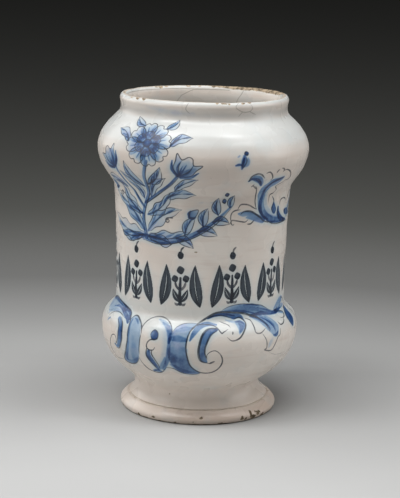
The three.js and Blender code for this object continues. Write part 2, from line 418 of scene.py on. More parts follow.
class Painting:
    """What lies on the unrolled wall, as one array for each layer over rows s and columns x."""

    def __init__(self, s, x):
        self.s, self.x, self.seed = s, x, BRUSH_SEED
        empty = np.zeros((len(s), len(x)))
        self.layers = {key: empty.copy() for key in ("wash", "ink", "bare", "dent")}
        self.layers["line"] = np.full_like(empty, LINE_FLOOR)
        self.layers["crack"] = np.full_like(empty, LINE_FLOOR)

    def windows(self, path, reach):
        """The rows and columns within reach of a path, and again where it runs over the back."""
        low, high = path.min(axis=0) - reach, path.max(axis=0) + reach
        rows = slice(*np.searchsorted(self.s, (low[1], high[1])))
        for shift in (-GIRTH, 0, GIRTH):
            columns = slice(*np.searchsorted(self.x, (low[0] + shift, high[0] + shift)))
            if rows.stop > rows.start and columns.stop > columns.start:
                x, s = np.meshgrid(self.x[columns] - shift, self.s[rows])
                yield (rows, columns), x.ravel(), s.ravel(), x.shape

    def over(self, layer, place, shape, amount):
        """One coat over another: what shows through is the product of what each lets through."""
        old = self.layers[layer][place]
        self.layers[layer][place] = 1 - (1 - old) * (1 - np.clip(amount.reshape(shape), 0, 1))

    def highest(self, layer, place, shape, amount):
        """One mark over another, of which the higher value counts."""
        old = self.layers[layer][place]
        self.layers[layer][place] = np.maximum(old, amount.reshape(shape))

    def pen(self, points, width=0.8, layer="line", ends=(0.45, 0.35), closed=False):
        """A fine line: half its width less the distance from its path, thinner at both ends."""
        width = width * PEN
        path = curve(points, closed)
        whole = np.hypot(*np.diff(path, axis=0).T).sum()
        for place, x, s, shape in self.windows(path, width / 2 - LINE_FLOOR):
            off, along, _ = nearest(path, x, s)
            swell = np.interp(along / whole, (0, 0.2, 0.75, 1), (ends[0], 1, 1, ends[1]))
            self.highest(layer, place, shape, np.maximum(swell * width / 2 - off, LINE_FLOOR))

    def coat(self, layer, where, inward, streak, depth, soft, pool):
        """Lays colour on: all of it inside an edge that is soft mm wide, streaked, and darker
        along the edge where it pools."""
        amount = depth * step_up(inward, -soft / 2, soft / 2)
        amount *= 1 - streak
        amount *= 1 + pool * np.exp(-((inward / POOL_REACH) ** 2))
        self.over(layer, *where, amount)

    def brush(self, points, widths, depth=0.6, layer="wash", streaks=0.3, soft=0.7, pool=0.2):
        """A broad stroke: full within the width that its path gives it, streaked along its way."""
        self.seed += 1
        path = curve(points)
        whole = np.hypot(*np.diff(path, axis=0).T).sum()
        widths = np.atleast_1d(widths).astype(float)
        stops = np.linspace(0, 1, len(widths))
        for place, x, s, shape in self.windows(path, widths.max() / 2 + soft):
            off, along, side = nearest(path, x, s)
            inward = np.interp(along / whole, stops, widths) / 2 - off
            streak = streaks * bristles(side * off, along, self.seed)
            self.coat(layer, (place, shape), inward, streak, depth, soft, pool)

    def fill(self, points, depth=(0.5, 0.5), angle=90, layer="wash", streaks=0.3, soft=0.7, pool=0.2):
        """A washed shape: full inside its outline. Its depth goes from one value to the other
        along an angle, and its streaks run that way too."""
        self.seed += 1
        path = curve(points, closed=True)
        way = np.array((math.cos(math.radians(angle)), math.sin(math.radians(angle))))
        ends = path @ way
        for place, x, s, shape in self.windows(path, soft):
            off = nearest(path, x, s)[0]
            inward = np.where(within(path, x, s), off, -off)
            along = x * way[0] + s * way[1]
            part = np.clip((along - ends.min()) / (ends.max() - ends.min()), 0, 1)
            here = depth[0] + (depth[1] - depth[0]) * part
            streak = streaks * bristles(s * way[0] - x * way[1], along, self.seed)
            self.coat(layer, (place, shape), inward, streak, here, soft, pool)

    def chip(self, x, s, radii, depth):
        """A flake out of the glaze: a dish whose radius swells and shrinks as a few sines of the
        direction from its middle."""
        self.seed += 1
        chance = np.random.default_rng(self.seed)
        turns = chance.uniform(0, 2 * math.pi, 4)
        small = min(radii)
        span = np.array([(x - radii[0], s - radii[1]), (x + radii[0], s + radii[1])])
        for place, px, ps, shape in self.windows(span, max(radii)):
            dx, ds = (px - x) / radii[0], (ps - s) / radii[1]
            round_it = np.arctan2(ds, dx)
            ragged = 1 + sum(
                size * np.sin(n * round_it + turn)
                for n, size, turn in zip((2, 3, 5, 8), (0.16, 0.14, 0.1, 0.07), turns)
            )
            inward = (ragged - np.hypot(dx, ds)) * small
            dish = depth * step_up(inward, -FLAKE_RIM / 2, small / 2)
            self.highest("dent", place, shape, dish)
            self.highest("bare", place, shape, step_up(inward, -FLAKE_RIM, FLAKE_RIM))


# The ornament. Shapes are the few points that a painter would set, in mm on the wall.


def carried(points, to=(0, 0), turn=0.0, size=1.0, flip=False):
    """Points of a motif at another place: mirrored if asked, scaled, turned and moved."""
    p = np.array(points, float) * size * ((-1, 1) if flip else (1, 1))
    cos, sin = math.cos(math.radians(turn)), math.sin(math.radians(turn))
    return np.column_stack((p[:, 0] * cos - p[:, 1] * sin, p[:, 0] * sin + p[:, 1] * cos)) + to


def blade(root, tip, width, bend, lobes=0):
    """Midrib and both edges of a leaf. The midrib is an arch between its ends, and the edges stand
    off it by half the width times a lobe of sin(pi t), fuller towards the root. A lobed leaf is
    drawn in by up to a third where the cosine of its lobes is low."""
    root, tip = np.array(root, float), np.array(tip, float)
    way = tip - root
    square = np.array((-way[1], way[0])) / np.hypot(*way)
    t = np.linspace(0, 1, 4 * lobes + 7)[:, None]
    rib = root + way * t + square * bend * 4 * t * (1 - t)
    half = width / 2 * np.sin(math.pi * t**0.8) ** 0.9
    half *= 0.83 + 0.17 * np.cos(2 * math.pi * (lobes + 0.5) * t) if lobes else 1
    return rib, rib + square * half, rib - square * half


def leaf(art, root, tip, width, bend, depth, lobes=0):
    """A leaf: a thin wash on one half and next to none on the other, dark strokes that run from
    the midrib towards one edge, and a fine outline."""
    rib, left, right = blade(root, tip, width, bend, lobes)
    angle = math.degrees(math.atan2(*(rib[-1] - rib[0])[::-1]))
    left_half, right_half = (np.vstack([rib, edge[-2:0:-1]]) for edge in (left, right))
    art.fill(left_half, (depth * 0.62, depth * 0.2), angle, streaks=0.5, soft=1.1)
    art.fill(right_half, (depth * 0.32, 0.03), angle, soft=1.1, pool=0.6)
    last = len(rib) - 1
    for begun, long in ((0.12, 0.75), (0.34, 0.8), (0.56, 0.6)):
        start = int(round(begun * last))
        end = min(last, start + max(1, round(0.3 * last)))
        leaving = 0.8 * rib[start] + 0.2 * left[end]
        arriving = (1 - long) * rib[end] + long * left[end]
        widths = (0.5, 0.16 * width, 0.4)
        art.brush([rib[start], leaving, arriving], widths, depth, streaks=0.1, pool=0)
    art.brush(rib[: last // 2 + 1], (0.14 * width, 0.2 * width, 0.4), depth * 1.1, pool=0)
    for path, fine in ((rib, 0.5), (left, 0.55), (right, 0.5)):
        art.pen(path, fine)


def berry(art, place, radius, depth, layer="wash", line=0.7):
    """A round berry: four points on a circle, with a pale spot left at its upper left."""
    circle = [(radius * math.cos(a), radius * math.sin(a)) for a in (0.3, 1.87, 3.44, 5.01)]
    art.fill(carried(circle, place), (depth, depth * 0.75), 120, layer, streaks=0.15)
    if line:
        art.pen(carried(circle, place), line, closed=True)


def lined(art, lines):
    """Fine lines from a table: for each width, the paths that are drawn with it."""
    for width, paths in lines.items():
        for path in paths:
            art.pen(path, width)


def tendril(art, root, way, size, flip=False):
    """A stalk that winds inwards: its radius shrinks evenly over one and a half turns."""
    turn = np.linspace(0, 3 * math.pi, 11)
    radius = size * 0.5 * (1 - turn / (3.6 * math.pi))
    curl = np.column_stack((size - radius * np.cos(turn), radius * np.sin(turn)))
    curl = np.vstack([(0, -0.2 * size), curl[1:]])
    art.pen(carried(curl, root, way, flip=flip), 0.7, ends=(0.9, 0.5))


def flower(art, centre, radius, petals, turn, depth):
    """An open flower seen from the front: petals that widen to a notched edge, almost white but
    for dark strokes out of the heart, a smaller ring of them inside, and a dark button."""
    petal = [(0.28, -0.1), (0.6, -0.32), (0.92, -0.3), (1.02, -0.12), (0.93, 0), (1.02, 0.12),
             (0.92, 0.3), (0.6, 0.32), (0.28, 0.1)]
    shade = [(0.3, -0.12), (0.62, -0.3), (0.9, -0.24), (0.66, -0.08), (0.35, 0.0)]
    inner = [(0.1, -0.08), (0.36, -0.22), (0.56, -0.14), (0.56, 0.14), (0.36, 0.22), (0.1, 0.08)]
    for angle in (turn + 360 * i / petals for i in range(petals)):
        at = functools.partial(carried, to=centre, turn=angle, size=radius)
        art.fill(at(petal), (depth * 0.7, 0.02), angle, streaks=0.5, soft=1.2, pool=0.5)
        art.fill(at(shade), (depth, depth * 0.3), angle, soft=1.2, pool=0)
        for across, long in ((-0.1, 0.72), (0.05, 0.8), (0.15, 0.66)):
            stroke = [(0.38, across * 0.5), (0.55, across), (long, across * 1.5)]
            art.brush(at(stroke), (1.6, 1.2, 0.3), depth, streaks=0, pool=0)
        art.pen(at(petal), 0.55)
    for angle in (turn + 20 + 360 * i / (petals - 2) for i in range(petals - 2)):
        shape = carried(inner, centre, angle, radius)
        art.fill(shape, (0.8, 0.12), angle, soft=1.0)
        art.pen(shape, 0.5)
    berry(art, centre, radius * 0.2, 0.95, line=0.5)


def half_flower(art, root, way, size, depth):
    """A flower seen from the side: a cup of three petals over two sepals."""
    at = functools.partial(carried, to=root, turn=way, size=size)
    cup = at([(0, 0), (0.35, 0.5), (0.85, 0.62), (1.25, 0.75), (1.05, 0.35), (1.35, 0.12),
              (1.35, -0.12), (1.05, -0.35), (1.25, -0.75), (0.85, -0.62), (0.35, -0.5)])
    shade = at([(0.05, -0.05), (0.4, -0.46), (0.95, -0.56), (0.8, -0.26), (0.45, -0.05)])
    art.fill(cup, (depth * 0.7, 0.04), way, streaks=0.5, soft=1.2, pool=0.4)
    art.fill(shade, (depth, depth * 0.4), way, soft=1.2, pool=0)
    for across, long in ((-0.3, 1.05), (0.0, 0.9), (0.12, 0.75), (0.34, 0.95)):
        stroke = at([(0.1, across * 0.2), (0.5, across), (long, across * 1.1)])
        art.brush(stroke, (1.8, 1.3, 0.3), depth, streaks=0, pool=0)
    art.pen(cup, 0.55, closed=True)
    for side in (-1, 1):
        art.pen(at([(0.15, 0.05 * side), (0.6, 0.3 * side), (1.0, 0.33 * side)]), 0.5)
        sepal = at([(0, 0.1 * side), (0.3, 0.55 * side), (0.75, 0.78 * side)])
        art.brush(sepal, (2.2, 2.8, 0.6), depth + 0.25)


def bud(art, root, way, size, depth=0.65):
    """A closed bud: a drop with a pointed tip, held by two short sepals."""
    at = functools.partial(carried, to=root, turn=way, size=size)
    drop = at([(0, 0), (0.35, 0.42), (0.85, 0.36), (1.4, 0), (0.85, -0.36), (0.35, -0.42)])
    art.fill(drop, (depth, 0.1), way, soft=1.0)
    art.pen(drop, 0.55, closed=True)
    for side in (-1, 1):
        sepal = at([(-0.1, 0.0), (0.2, 0.4 * side), (0.6, 0.5 * side)])
        art.brush(sepal, (1.6, 2.4, 0.6), depth + 0.25)


def spray(art):
    """Upper left: a full flowering spray on a tuft of lobed leaves, with a trailing branch."""
    def leaning(*points):
        """Points moved right, the more the higher they lie, by up to 8 mm from 84 to 135 mm up."""
        p = np.array(points, float)
        p[:, 0] += 8 * step_up(p[:, 1], 84, 135)
        return p

    for root, tip, width, bend, depth, lobes in (
        ((-54, 70), (-99, 99), 15, -5, 0.5, 2),
        ((-50, 70), (-17, 91), 14, 4, 0.5, 2),
        ((-52, 66), (-104, 79), 17, 5, 0.48, 3),
        ((-50, 66), (-9, 72), 15, -4, 0.48, 2),
        ((-56, 66), (-88, 65), 11, 3, 0.55, 1),
        ((-50, 65), (-26, 61), 9, 1, 0.5, 1),
        ((-76, 106), (-104, 114), 11, -3, 0.6, 1),
        ((-55, 98), (-79, 124), 11, -3, 0.5, 1),
        ((-56, 84), (-86, 110), 12, 4, 0.6, 2),
        ((-54, 110), (-72, 134), 9, 3, 0.8, 0),
        ((-32, 100), (-7, 104), 11, 3, 0.6, 1),
        ((-48, 100), (-34, 122), 10, 3, 0.5, 1),
        ((-50, 84), (-30, 106), 12, -4, 0.6, 2),
        ((-50, 113), (-39, 132), 9, -3, 0.85, 0),
        ((-26, 108), (-9, 122), 9, 2, 0.5, 1),
        ((-69, 151), (-87, 161), 10, -3, 0.6, 1),
        ((-59.5, 167), (-73, 176), 7, 2, 0.6, 0),
        ((-38.5, 165.5), (-29, 176), 7, -2, 0.6, 0),
        ((-32, 150), (-15, 158), 10, 3, 0.65, 1),
    ):
        root, tip = leaning(root, tip)
        leaf(art, root, tip, width, bend, depth, lobes=lobes)
    for points, widths in (
        ([(-52, 64), (-55, 84), (-51, 104), (-53, 122), (-50, 136)], (4.2, 3.4, 3, 2.8, 2.4)),
        ([(-54, 90), (-68, 103), (-78, 115), (-83, 127)], (2.4, 2.2, 2)),
        ([(-53, 94), (-40, 105), (-31, 115), (-25, 125)], (2.4, 2.2, 2)),
    ):
        points = leaning(*points)
        art.brush(points, widths, 0.62, streaks=0.5)
        art.pen(points + (1.3, -0.6), 0.7)
    half_flower(art, leaning((-84, 126))[0], 122, 14, 0.6)
    half_flower(art, leaning((-24, 124))[0], 62, 14, 0.6)
    flower(art, leaning((-51, 151))[0], 19, 8, 10, 0.55)
    bud(art, (-93, 103), 150, 8)
    bud(art, (-10, 85), 40, 7)
    tendril(art, (-84, 92), 100, 6)
    tendril(art, (-26, 84), 40, 5, flip=True)
    trailing_branch(art)


def trailing_branch(art):
    """From the tuft a branch runs low to the right and lifts towards the scroll."""
    art.brush([(-56, 64), (-36, 62), (-14, 67), (2, 75), (15, 84), (26, 94)],
        (4.6, 4.2, 4, 3.4, 2.8, 1.6), 0.5, streaks=0.5)
    art.brush([(-50, 62), (-34, 60.8), (-12, 66), (3, 74), (16, 83)], (1, 2, 2, 1.6, 0.6), 0.5)
    art.pen([(-56, 61.5), (-36, 59.5), (-13, 64.5), (3.5, 72.5), (16.5, 82), (27, 93.5)], 0.7)
    for root, tip, width, bend, depth in (
        ((-22, 66), (-6, 58), 8, 2, 0.6),
        ((-14, 69), (-5, 85), 9, 2, 0.7),
        ((-3, 73), (15, 69), 9, 2, 0.55),
        ((2, 77), (6, 93), 9, 2, 0.7),
        ((10, 81), (26, 79), 8, 2, 0.55),
        ((15, 87), (15, 102), 8, 2, 0.7),
        ((25, 93), (29, 104), 6, 1, 0.7),
    ):
        leaf(art, root, tip, width, bend, depth)
    for place in ((20, 99), (22, 105)):
        berry(art, place, 1.8, 0.9)


def small_sprig(art, to=(30.2, 138), size=1.0, turn=0.0):
    """A bud on a short stalk with a leaf on each side, under a dark berry."""
    def at(*points):
        return carried(points, to, turn, size)

    widths = np.array((2.2, 4.4, 3.4, 1.2)) * size
    art.brush(at((0.8, 4.6), (0.5, 0.5), (-0.5, -3), (-1, -6)), widths, 0.5, soft=1.2)
    art.brush(at((0.5, 3), (-0.4, -1.4), (-1, -5)), widths * 0.4, 0.85)
    art.brush(at((0.5, -4), (3, -2.5), (4, 0.5), (3.4, 3)), widths * 0.6, 0.42, soft=1.2)
    art.brush(at((-0.5, -3.5), (-3, -2.4), (-5.8, -3)), widths[::-1] * 0.5, 0.6)
    art.pen(at((2.2, 4), (2.6, 0.5), (1.2, -3), (-1, -6.5)), 0.6 * size)
    berry(art, at((2.5, 6.8))[0], 1.6 * size, 0.85)


# Fine lines of the scroll, by their width in mm
SCROLL_LINES = {
    0.7: (
        [(79.8, 116.1), (75.3, 113.1), (69.8, 110.1), (73.8, 105.6), (71.8, 102.6), (67.3, 101.1),
         (66.3, 96.6), (66.3, 93.6)],
        [(81.6, 88.3), (82.4, 83.4), (86.4, 79)],
    ),
    0.8: (
        [(45.3, 113.6), (47.8, 109.6), (49.8, 103.1), (49.8, 97.1), (50.8, 92.6), (52.3, 90.1)],
        [(41.3, 112.6), (43.3, 115.6)],
        [(42.3, 114.6), (46.3, 110.6), (47.8, 109.6)],
        [(64.8, 79.6), (72.8, 75.9), (82.8, 74.4), (95.8, 74.3), (104.8, 74.1)],
        [(51.3, 126.1), (54.3, 127.1), (57.3, 124.6), (59.3, 120.6), (57.8, 118.1)],
        [(61.8, 125.6), (62.8, 127.4), (64.3, 128.6)],
        [(66.3, 129.6), (69.3, 128.6), (69.8, 126.6), (68.8, 125.6)],
        [(84.3, 90.6), (86.3, 94.6), (92.3, 95.6), (97.8, 93.6), (98.3, 90.1)],
        [(99.8, 91.1), (106.8, 98.1), (113.8, 99.1), (115.8, 93.1)],
        [(26.8, 81.1), (26.3, 85.1), (27.3, 88.6), (30.3, 90.6), (35.3, 91.1)],
        [(29.8, 78.6), (28.3, 78.1), (26.8, 80.1), (27.8, 82.1), (31.8, 81.6), (36.8, 80.6),
         (40.8, 80.1), (43.8, 82.1)],
        [(42.8, 78.1), (46.3, 78.1), (49.3, 80.1), (50.3, 81.1)],
        [(71.1, 99.6), (74, 95.6), (72.8, 92.6), (71.3, 89.1), (73.3, 85.1)],
    ),
    0.85: (
        [(70.8, 127.1), (74.3, 127.1), (79.8, 124.1), (83.8, 118.6), (81.8, 115.6), (77.3, 116.1)],
        [(32.8, 92.1), (34.8, 95.1), (38.3, 95.6), (43.3, 94.6), (47.3, 92.6), (51.8, 90.1)],
    ),
    0.9: ([(104.8, 77.1), (114.8, 87.1), (121.8, 100.1)],),
    1: ([(36.8, 119.1), (38.8, 124.1), (43.3, 126.3), (47.3, 125.1), (51.3, 121.1)],),
    1.15: (
        [(35.8, 87.1), (38.3, 89.1), (42.3, 89.4), (46.8, 88.6), (51.3, 86.1), (57.3, 82.6),
         (61.5, 79.4), (68, 77)],
    ),
}


def scroll(art):
    """Upper right: a leafy scroll. A broad C winds down and away to the right, with a crest of
    curls over it, a leaf laid against its foot and a drop inside it."""
    # the C: a thin wash inside, the broad stroke and its dark core
    art.brush([(62.8, 104.1), (61.8, 98.6), (63.3, 91.6), (68.3, 86.1), (77.8, 81.6), (89.8, 79.6)],
        (2, 5, 6, 6, 5, 2), 0.12, soft=1.6, pool=0)
    art.fill([(65.8, 119.6), (60.8, 119.1), (57.3, 115.6), (53.3, 111.6), (52.3, 107.1), (52.3, 103.1),
        (52.8, 98.1), (53.3, 92.6), (54.8, 88.1), (58.8, 83.6), (64.3, 80.1), (71.8, 77.1), (80.3, 75.6),
        (90.8, 74.9), (104.3, 74.6), (95.3, 77.6), (85.3, 79.1), (74.3, 81.6), (65.8, 86.1), (61.3, 91.1),
        (59.8, 96.1), (60.8, 100.6), (61.3, 105.6), (63.8, 110.1), (69.8, 113.6), (73.8, 119.1)],
        (0.42, 0.45), 90, pool=0.4)
    art.brush([(73.3, 119.9), (68.3, 118.1), (63.3, 116.1), (59.8, 112.6), (57.8, 108.1), (57.8, 102.1),
        (56.3, 97.1), (55.8, 92.1), (57.3, 87.6), (61.3, 83.1), (67.3, 80)],
        (1.6, 2.6, 2.4, 2.8, 2.6, 3, 4, 4, 3, 1.8, 0.8), 0.78, soft=0.9)
    art.brush([(61, 88), (66, 83), (75, 79.8), (88, 78.2)], (2, 5, 4.4, 2), 0.34, soft=1.4)
    art.brush([(62, 81.6), (70, 77.6), (82, 76), (94, 75.6)], (0.8, 1.6, 1.6, 0.8), 0.6, soft=0.8)
    # the crest and its curls
    art.fill([(38.8, 122.6), (41.8, 124.9), (46.8, 123.6), (50.3, 119.6), (51.8, 115.1), (50, 113.1),
        (46.3, 116.6), (41.3, 119.6)], (0.6, 0.5), 0)
    art.brush([(37.3, 119.6), (39.3, 121.4), (43.8, 120.9), (47.8, 117.6), (50.8, 113.1)],
        (1.6, 2.6, 2.8, 2.4, 1.2), 0.9, soft=0.6)
    # the hook at the end of the C, and what goes on round the side
    art.brush([(82.2, 88.5), (82.8, 84), (86.6, 79.6), (93, 76.6), (101, 75.6)], (2.4, 5.2, 5.4, 3.4, 1),
        0.8)
    art.fill([(96.3, 84.1), (102.8, 85.1), (112.3, 83.1), (115.8, 78.6), (100.8, 79.6)], (0.85, 0.7), 0)
    art.brush([(104.8, 78.1), (111.8, 87.1), (118.8, 98.1)], (2, 5, 1.5), 0.55)
    # the leaf against its foot, with the turned-over stalk
    art.fill([(32.8, 87.6), (36.8, 89.1), (41.3, 89.6), (46.8, 88.6), (52.8, 86), (58.6, 83.6),
        (63.5, 80), (60, 77.6), (51.8, 79.8), (45.3, 82.1), (40.8, 83.6), (42.3, 85.1), (37.3, 85.1)],
        (0.3, 0.6), 0)
    # the drop inside
    art.fill([(71.3, 99.1), (73.8, 95.6), (72.8, 92.6), (71.3, 89.1), (73.3, 85.1), (76.8, 83.6),
        (78.8, 87.1), (76.3, 91.6)], (0.85, 0.6), 90)
    lined(art, SCROLL_LINES)


# Fine lines of the band, by their width in mm
BAND_LINES = {
    0.3: ([(61.6, -38), (70.8, -42.4), (80, -43.8), (87.8, -44.3)],),
    0.5: (
        [(-20.8, -16), (-18, -11.3), (-12.5, -7.6), (-5.5, -6.8), (1, -7.3)],
        [(21, 4.6), (28, 7.6), (38, 8.8), (50, 7.7), (62, 5.2), (68, 2.6), (74, -0.4), (81, -2.6)],
        [(81, -2.6), (87, -2.6), (91, -0.4)],
    ),
    0.6: (
        [(-97.5, -20), (-96.5, -14.5), (-90.5, -10), (-82, -9.5), (-72, -12.5)],
        [(-79.5, -39), (-77, -34), (-79, -30), (-84, -31), (-87.5, -36), (-89.5, -42), (-88, -48),
         (-83.5, -53), (-73, -51.5)],
        [(-48.3, -22), (-49.3, -31), (-50, -41)],
        [(4.6, -3.9), (11, -0.9), (20.1, 0), (28.1, -2.2), (31.8, -3.8)],
        [(18.5, -5.2), (25.2, -8.7), (26.9, -12)],
    ),
    0.7: ([(-26, -50), (-20, -50.5), (-12.5, -54.8), (-3, -55.8), (3, -53.5)],),
    0.75: (
        [(-48.3, -22), (-48.5, -14.5), (-45.5, -7.5), (-39, -3.8), (-30, -4.3), (-23.3, -10.8),
         (-21, -19.5)],
        [(-33, -24.2), (-39, -25.5), (-42, -29), (-42.3, -32.5), (-40, -34.5), (-36.5, -34),
         (-34.8, -31.2)],
        [(1, -8.5), (8, -8), (14.5, -10.4), (18.5, -16.4), (20.3, -15.8), (24.9, -12.9)],
        [(43.2, -3.9), (48.1, -6.3), (48.8, -12), (48.7, -18.4), (53.4, -19.7), (59.7, -16.4)],
        [(55.1, -20.6), (58.7, -27.2), (59.2, -33.6), (57.1, -35.2), (64.6, -37), (69, -32.4),
         (72.3, -26.7), (75.3, -24.9), (77.5, -19.8)],
        [(84, -3.8), (88.7, -4.9), (96.7, -7.1), (92.1, -11.7), (84.6, -11.2)],
        [(90, -12.5), (88.2, -14.4), (83.9, -16.7), (79.2, -16.7), (77.6, -13.2)],
    ),
    0.8: (
        [(-79.8, -15), (-75, -20), (-74.5, -28), (-75.5, -34), (-78.5, -38)],
        [(-50.5, -45), (-48.5, -50), (-44, -55.5), (-37, -58), (-31, -56), (-26.5, -50)],
        [(-42.3, -33), (-43, -40), (-40.3, -45.3), (-36.5, -51.3), (-34.5, -54.5)],
        [(-37.5, -34), (-38, -38), (-35.5, -43), (-33.3, -48), (-32.5, -53)],
        [(113, -4), (103, -6.5), (95.6, -14.5), (101, -24.5)],
        [(98, 6), (108, 3), (116, -4), (119, -14), (113, -24), (104, -27)],
    ),
    0.85: (
        [(4, -7), (-4, -10.5), (-8, -18.5), (-9.5, -28), (-8.5, -37), (-5.5, -46.5), (1.5, -52.8),
         (10, -53.5), (16.5, -49.5), (19.5, -42), (18, -35.5), (14, -31.5), (10, -32), (7, -35),
         (7.2, -38.5)],
    ),
    0.9: (
        [(-77, -12.5), (-71, -18), (-69, -27), (-69.6, -33.5), (-74, -40.5), (-79.5, -41)],
        [(-68.5, -8), (-64, -13), (-62.5, -22), (-62.5, -32), (-66, -42), (-71, -51.3), (-64.5, -54),
         (-56, -51), (-51, -44.5), (-52, -43)],
        [(-64.5, -11), (-63, -7.5), (-60.5, -6.5), (-57, -8), (-50.5, -14), (-48, -21)],
        [(15, -14.2), (9.8, -18.2), (6.2, -26), (5.2, -32.5), (6.8, -39)],
        [(31.8, -3.8), (37.7, -2.7), (41.6, -5.8), (41.8, -10.3), (37, -17.6), (32.8, -22),
         (26.8, -23.4), (22.9, -20.1)],
        [(27.6, -18), (27.9, -16.9), (28.2, -15.6)],
    ),
    1: (
        [(-129, -4), (-114.5, -0.5), (-102, 2.2), (-90.5, 0.3), (-77.4, -2.4), (-70.5, -4.4),
         (-66.5, -9), (-64.2, -14)],
    ),
    1.25: (
        [(-6.9, -15.3), (-0.9, -7.5), (5.9, -2.6), (13.5, 1.6), (20.7, 2.9), (30.8, 2.1), (40.8, 0.7),
         (49.2, -2), (57, -5), (61.2, -9.5), (62.3, -14.8), (63.5, -20)],
    ),
    1.3: ([(15.5, -11.8), (8.5, -12.3), (3.5, -17.5), (0.9, -26.5), (0.4, -34), (2.4, -40.7), (9, -43)],),
}


def scroll_band(art):
    """Round the lower swelling: leaves, an upright, an oval boss and a C scroll with a long leaf."""
    # the leaf at the left and the hook under it
    art.fill([(-128, -6), (-118, -4), (-112, 0), (-102, 2), (-90, 0), (-77.5, -2.7), (-70.5, -5),
        (-64.5, -11), (-65, -15.5), (-68, -12.8), (-76.5, -7.5), (-82, -6.5), (-90, -5.5), (-98, -8.5),
        (-104, -14), (-112, -11)], (0.16, 0.26), 0)
    art.brush([(-127, -4), (-108, -0.6), (-90.6, -0.9), (-77.5, -3.6), (-70, -6.4), (-66, -12)],
        (1.5, 2.6, 3.2, 3.4, 3.4, 2), 0.62)
    art.brush([(-102.5, -7), (-93, -4.4), (-84, -5.4), (-78, -7.4), (-70, -11.2), (-65.6, -15.5)],
        (1, 2, 2.6, 3.8, 4.2, 2), 0.66)
    art.brush([(-96, -1.5), (-88, -2.6), (-81, -5)], (0.6, 1.4, 0.5), 0.5)
    art.brush([(-102, -15), (-98.3, -10.8), (-90.4, -8.3), (-82.5, -9)], (1.5, 4, 4.5, 2),
        0.2, soft=1.2, pool=0)
    art.brush([(-112.6, -11.6), (-114.4, -6.1)], (1, 1.6, 1), 0.5)
    art.brush([(-96.6, -20.7), (-95, -19), (-92.7, -17.2)], (0.8, 1.8, 0.8), 0.45)
    art.brush([(-79, -14), (-73.5, -19), (-71.7, -26), (-72.1, -33), (-76, -39.2), (-80, -38)],
        (3, 4.6, 5, 4.6, 3.4, 1.2), 0.65)
    # the upright
    art.fill([(-64.5, -12), (-63, -7.5), (-57.5, -7.5), (-51, -13.5), (-49, -24.5), (-49.5, -36),
        (-51.5, -44.5), (-56, -50.5), (-64.5, -53.5), (-71, -51), (-66, -42), (-62.5, -32), (-63, -19)],
        (0.4, 0.2), 90, streaks=0.5, pool=0.4)
    art.brush([(-62.5, -11), (-61.4, -24), (-61.8, -36), (-66.5, -49)], (1, 2, 2.8, 2), 0.5, soft=1.4)
    art.brush([(-56, -26), (-55, -36), (-57, -46)], (1, 6, 3), 0.2, soft=3, pool=0)
    art.brush([(-67, -50), (-59, -50.6), (-53, -45)], (1.5, 4.2, 1.5), 0.42, soft=1.4)
    art.brush([(-60.5, -9.5), (-57.5, -10.5), (-54, -14)], (0.8, 2, 0.6), 0.45)
    # the oval boss
    art.fill([(-37, -4.8), (-30, -4.8), (-23.5, -11), (-21, -19.5), (-22, -30), (-24, -41), (-28, -52),
        (-36, -57), (-40, -55), (-34, -48), (-30, -38), (-29, -27), (-30.5, -16), (-35, -10)],
        (0.1, 0.06), 90, soft=2.4, pool=0)
    art.brush([(-31, -9), (-25.5, -13), (-22.8, -19), (-23.2, -26)], (1.5, 4.5, 4.5, 2), 0.5, soft=1.6)
    art.brush([(-22.6, -18), (-23.2, -30), (-24.6, -42), (-29, -52)], (1.5, 2.6, 3.4, 3), 0.5, soft=1.4)
    art.brush([(-26.5, -40), (-28.5, -47), (-33, -53)], (1.5, 5, 2), 0.4, soft=1.6)
    art.brush([(-35.5, -6), (-31, -7.5), (-27, -9)], (1, 3, 1.5), 0.2, soft=1.6, pool=0)
    art.brush([(-39, -55.8), (-35.3, -55), (-32, -55.5)], (1.5, 3.4, 1.5), 0.6)
    stud = [(-39.2, -20.5), (-36.5, -16.5), (-33, -19), (-33.2, -23.5), (-37, -25)]
    art.fill(stud, (0.95, 0.8), 90)
    art.pen(stud, 0.7, closed=True)
    art.brush([(-40.5, -35.5), (-40.8, -40), (-38, -45), (-35, -50.5), (-33.8, -54)],
        (2.5, 4.4, 4, 3.2, 1.5), 0.7)
    # the deep ground between the boss and the C scroll
    art.fill([(-20.5, -17), (-18, -11.5), (-12.5, -7.8), (-5.5, -7), (1, -7.5), (-4.5, -11), (-8, -18.5),
        (-9.5, -28), (-8.5, -37), (-5.5, -46.5), (1.5, -53), (-3, -55.2), (-12.5, -54.3), (-20, -48),
        (-23.5, -40), (-22.5, -29.5), (-20.3, -22)], (0.42, 0.22), 90, pool=0.3)
    art.brush([(-18, -15.2), (-12, -12.8), (-5.5, -11.8)], (1.5, 5, 1.5), 0.36, soft=1.6)
    art.brush([(-22.5, -22.5), (-17, -21.8), (-9.8, -22.5)], (3, 6, 3), 0.42, soft=1.6)
    art.fill([(-23, -30), (-9.5, -29.3), (-8.5, -37), (-5.5, -46.5), (0.5, -53), (-4, -54.5),
        (-12.5, -53.8), (-19.5, -48), (-23, -40)], (0.42, 0.26), 90, soft=2, pool=0)
    art.brush([(-22, -35), (-18.8, -37.5), (-20.5, -43)], (2, 6, 3), 0.4, soft=2)
    art.brush([(-22, -46), (-14.8, -51), (-7.5, -53), (-2.5, -53)], (2, 5, 4, 1.5), 0.35, soft=1.4)
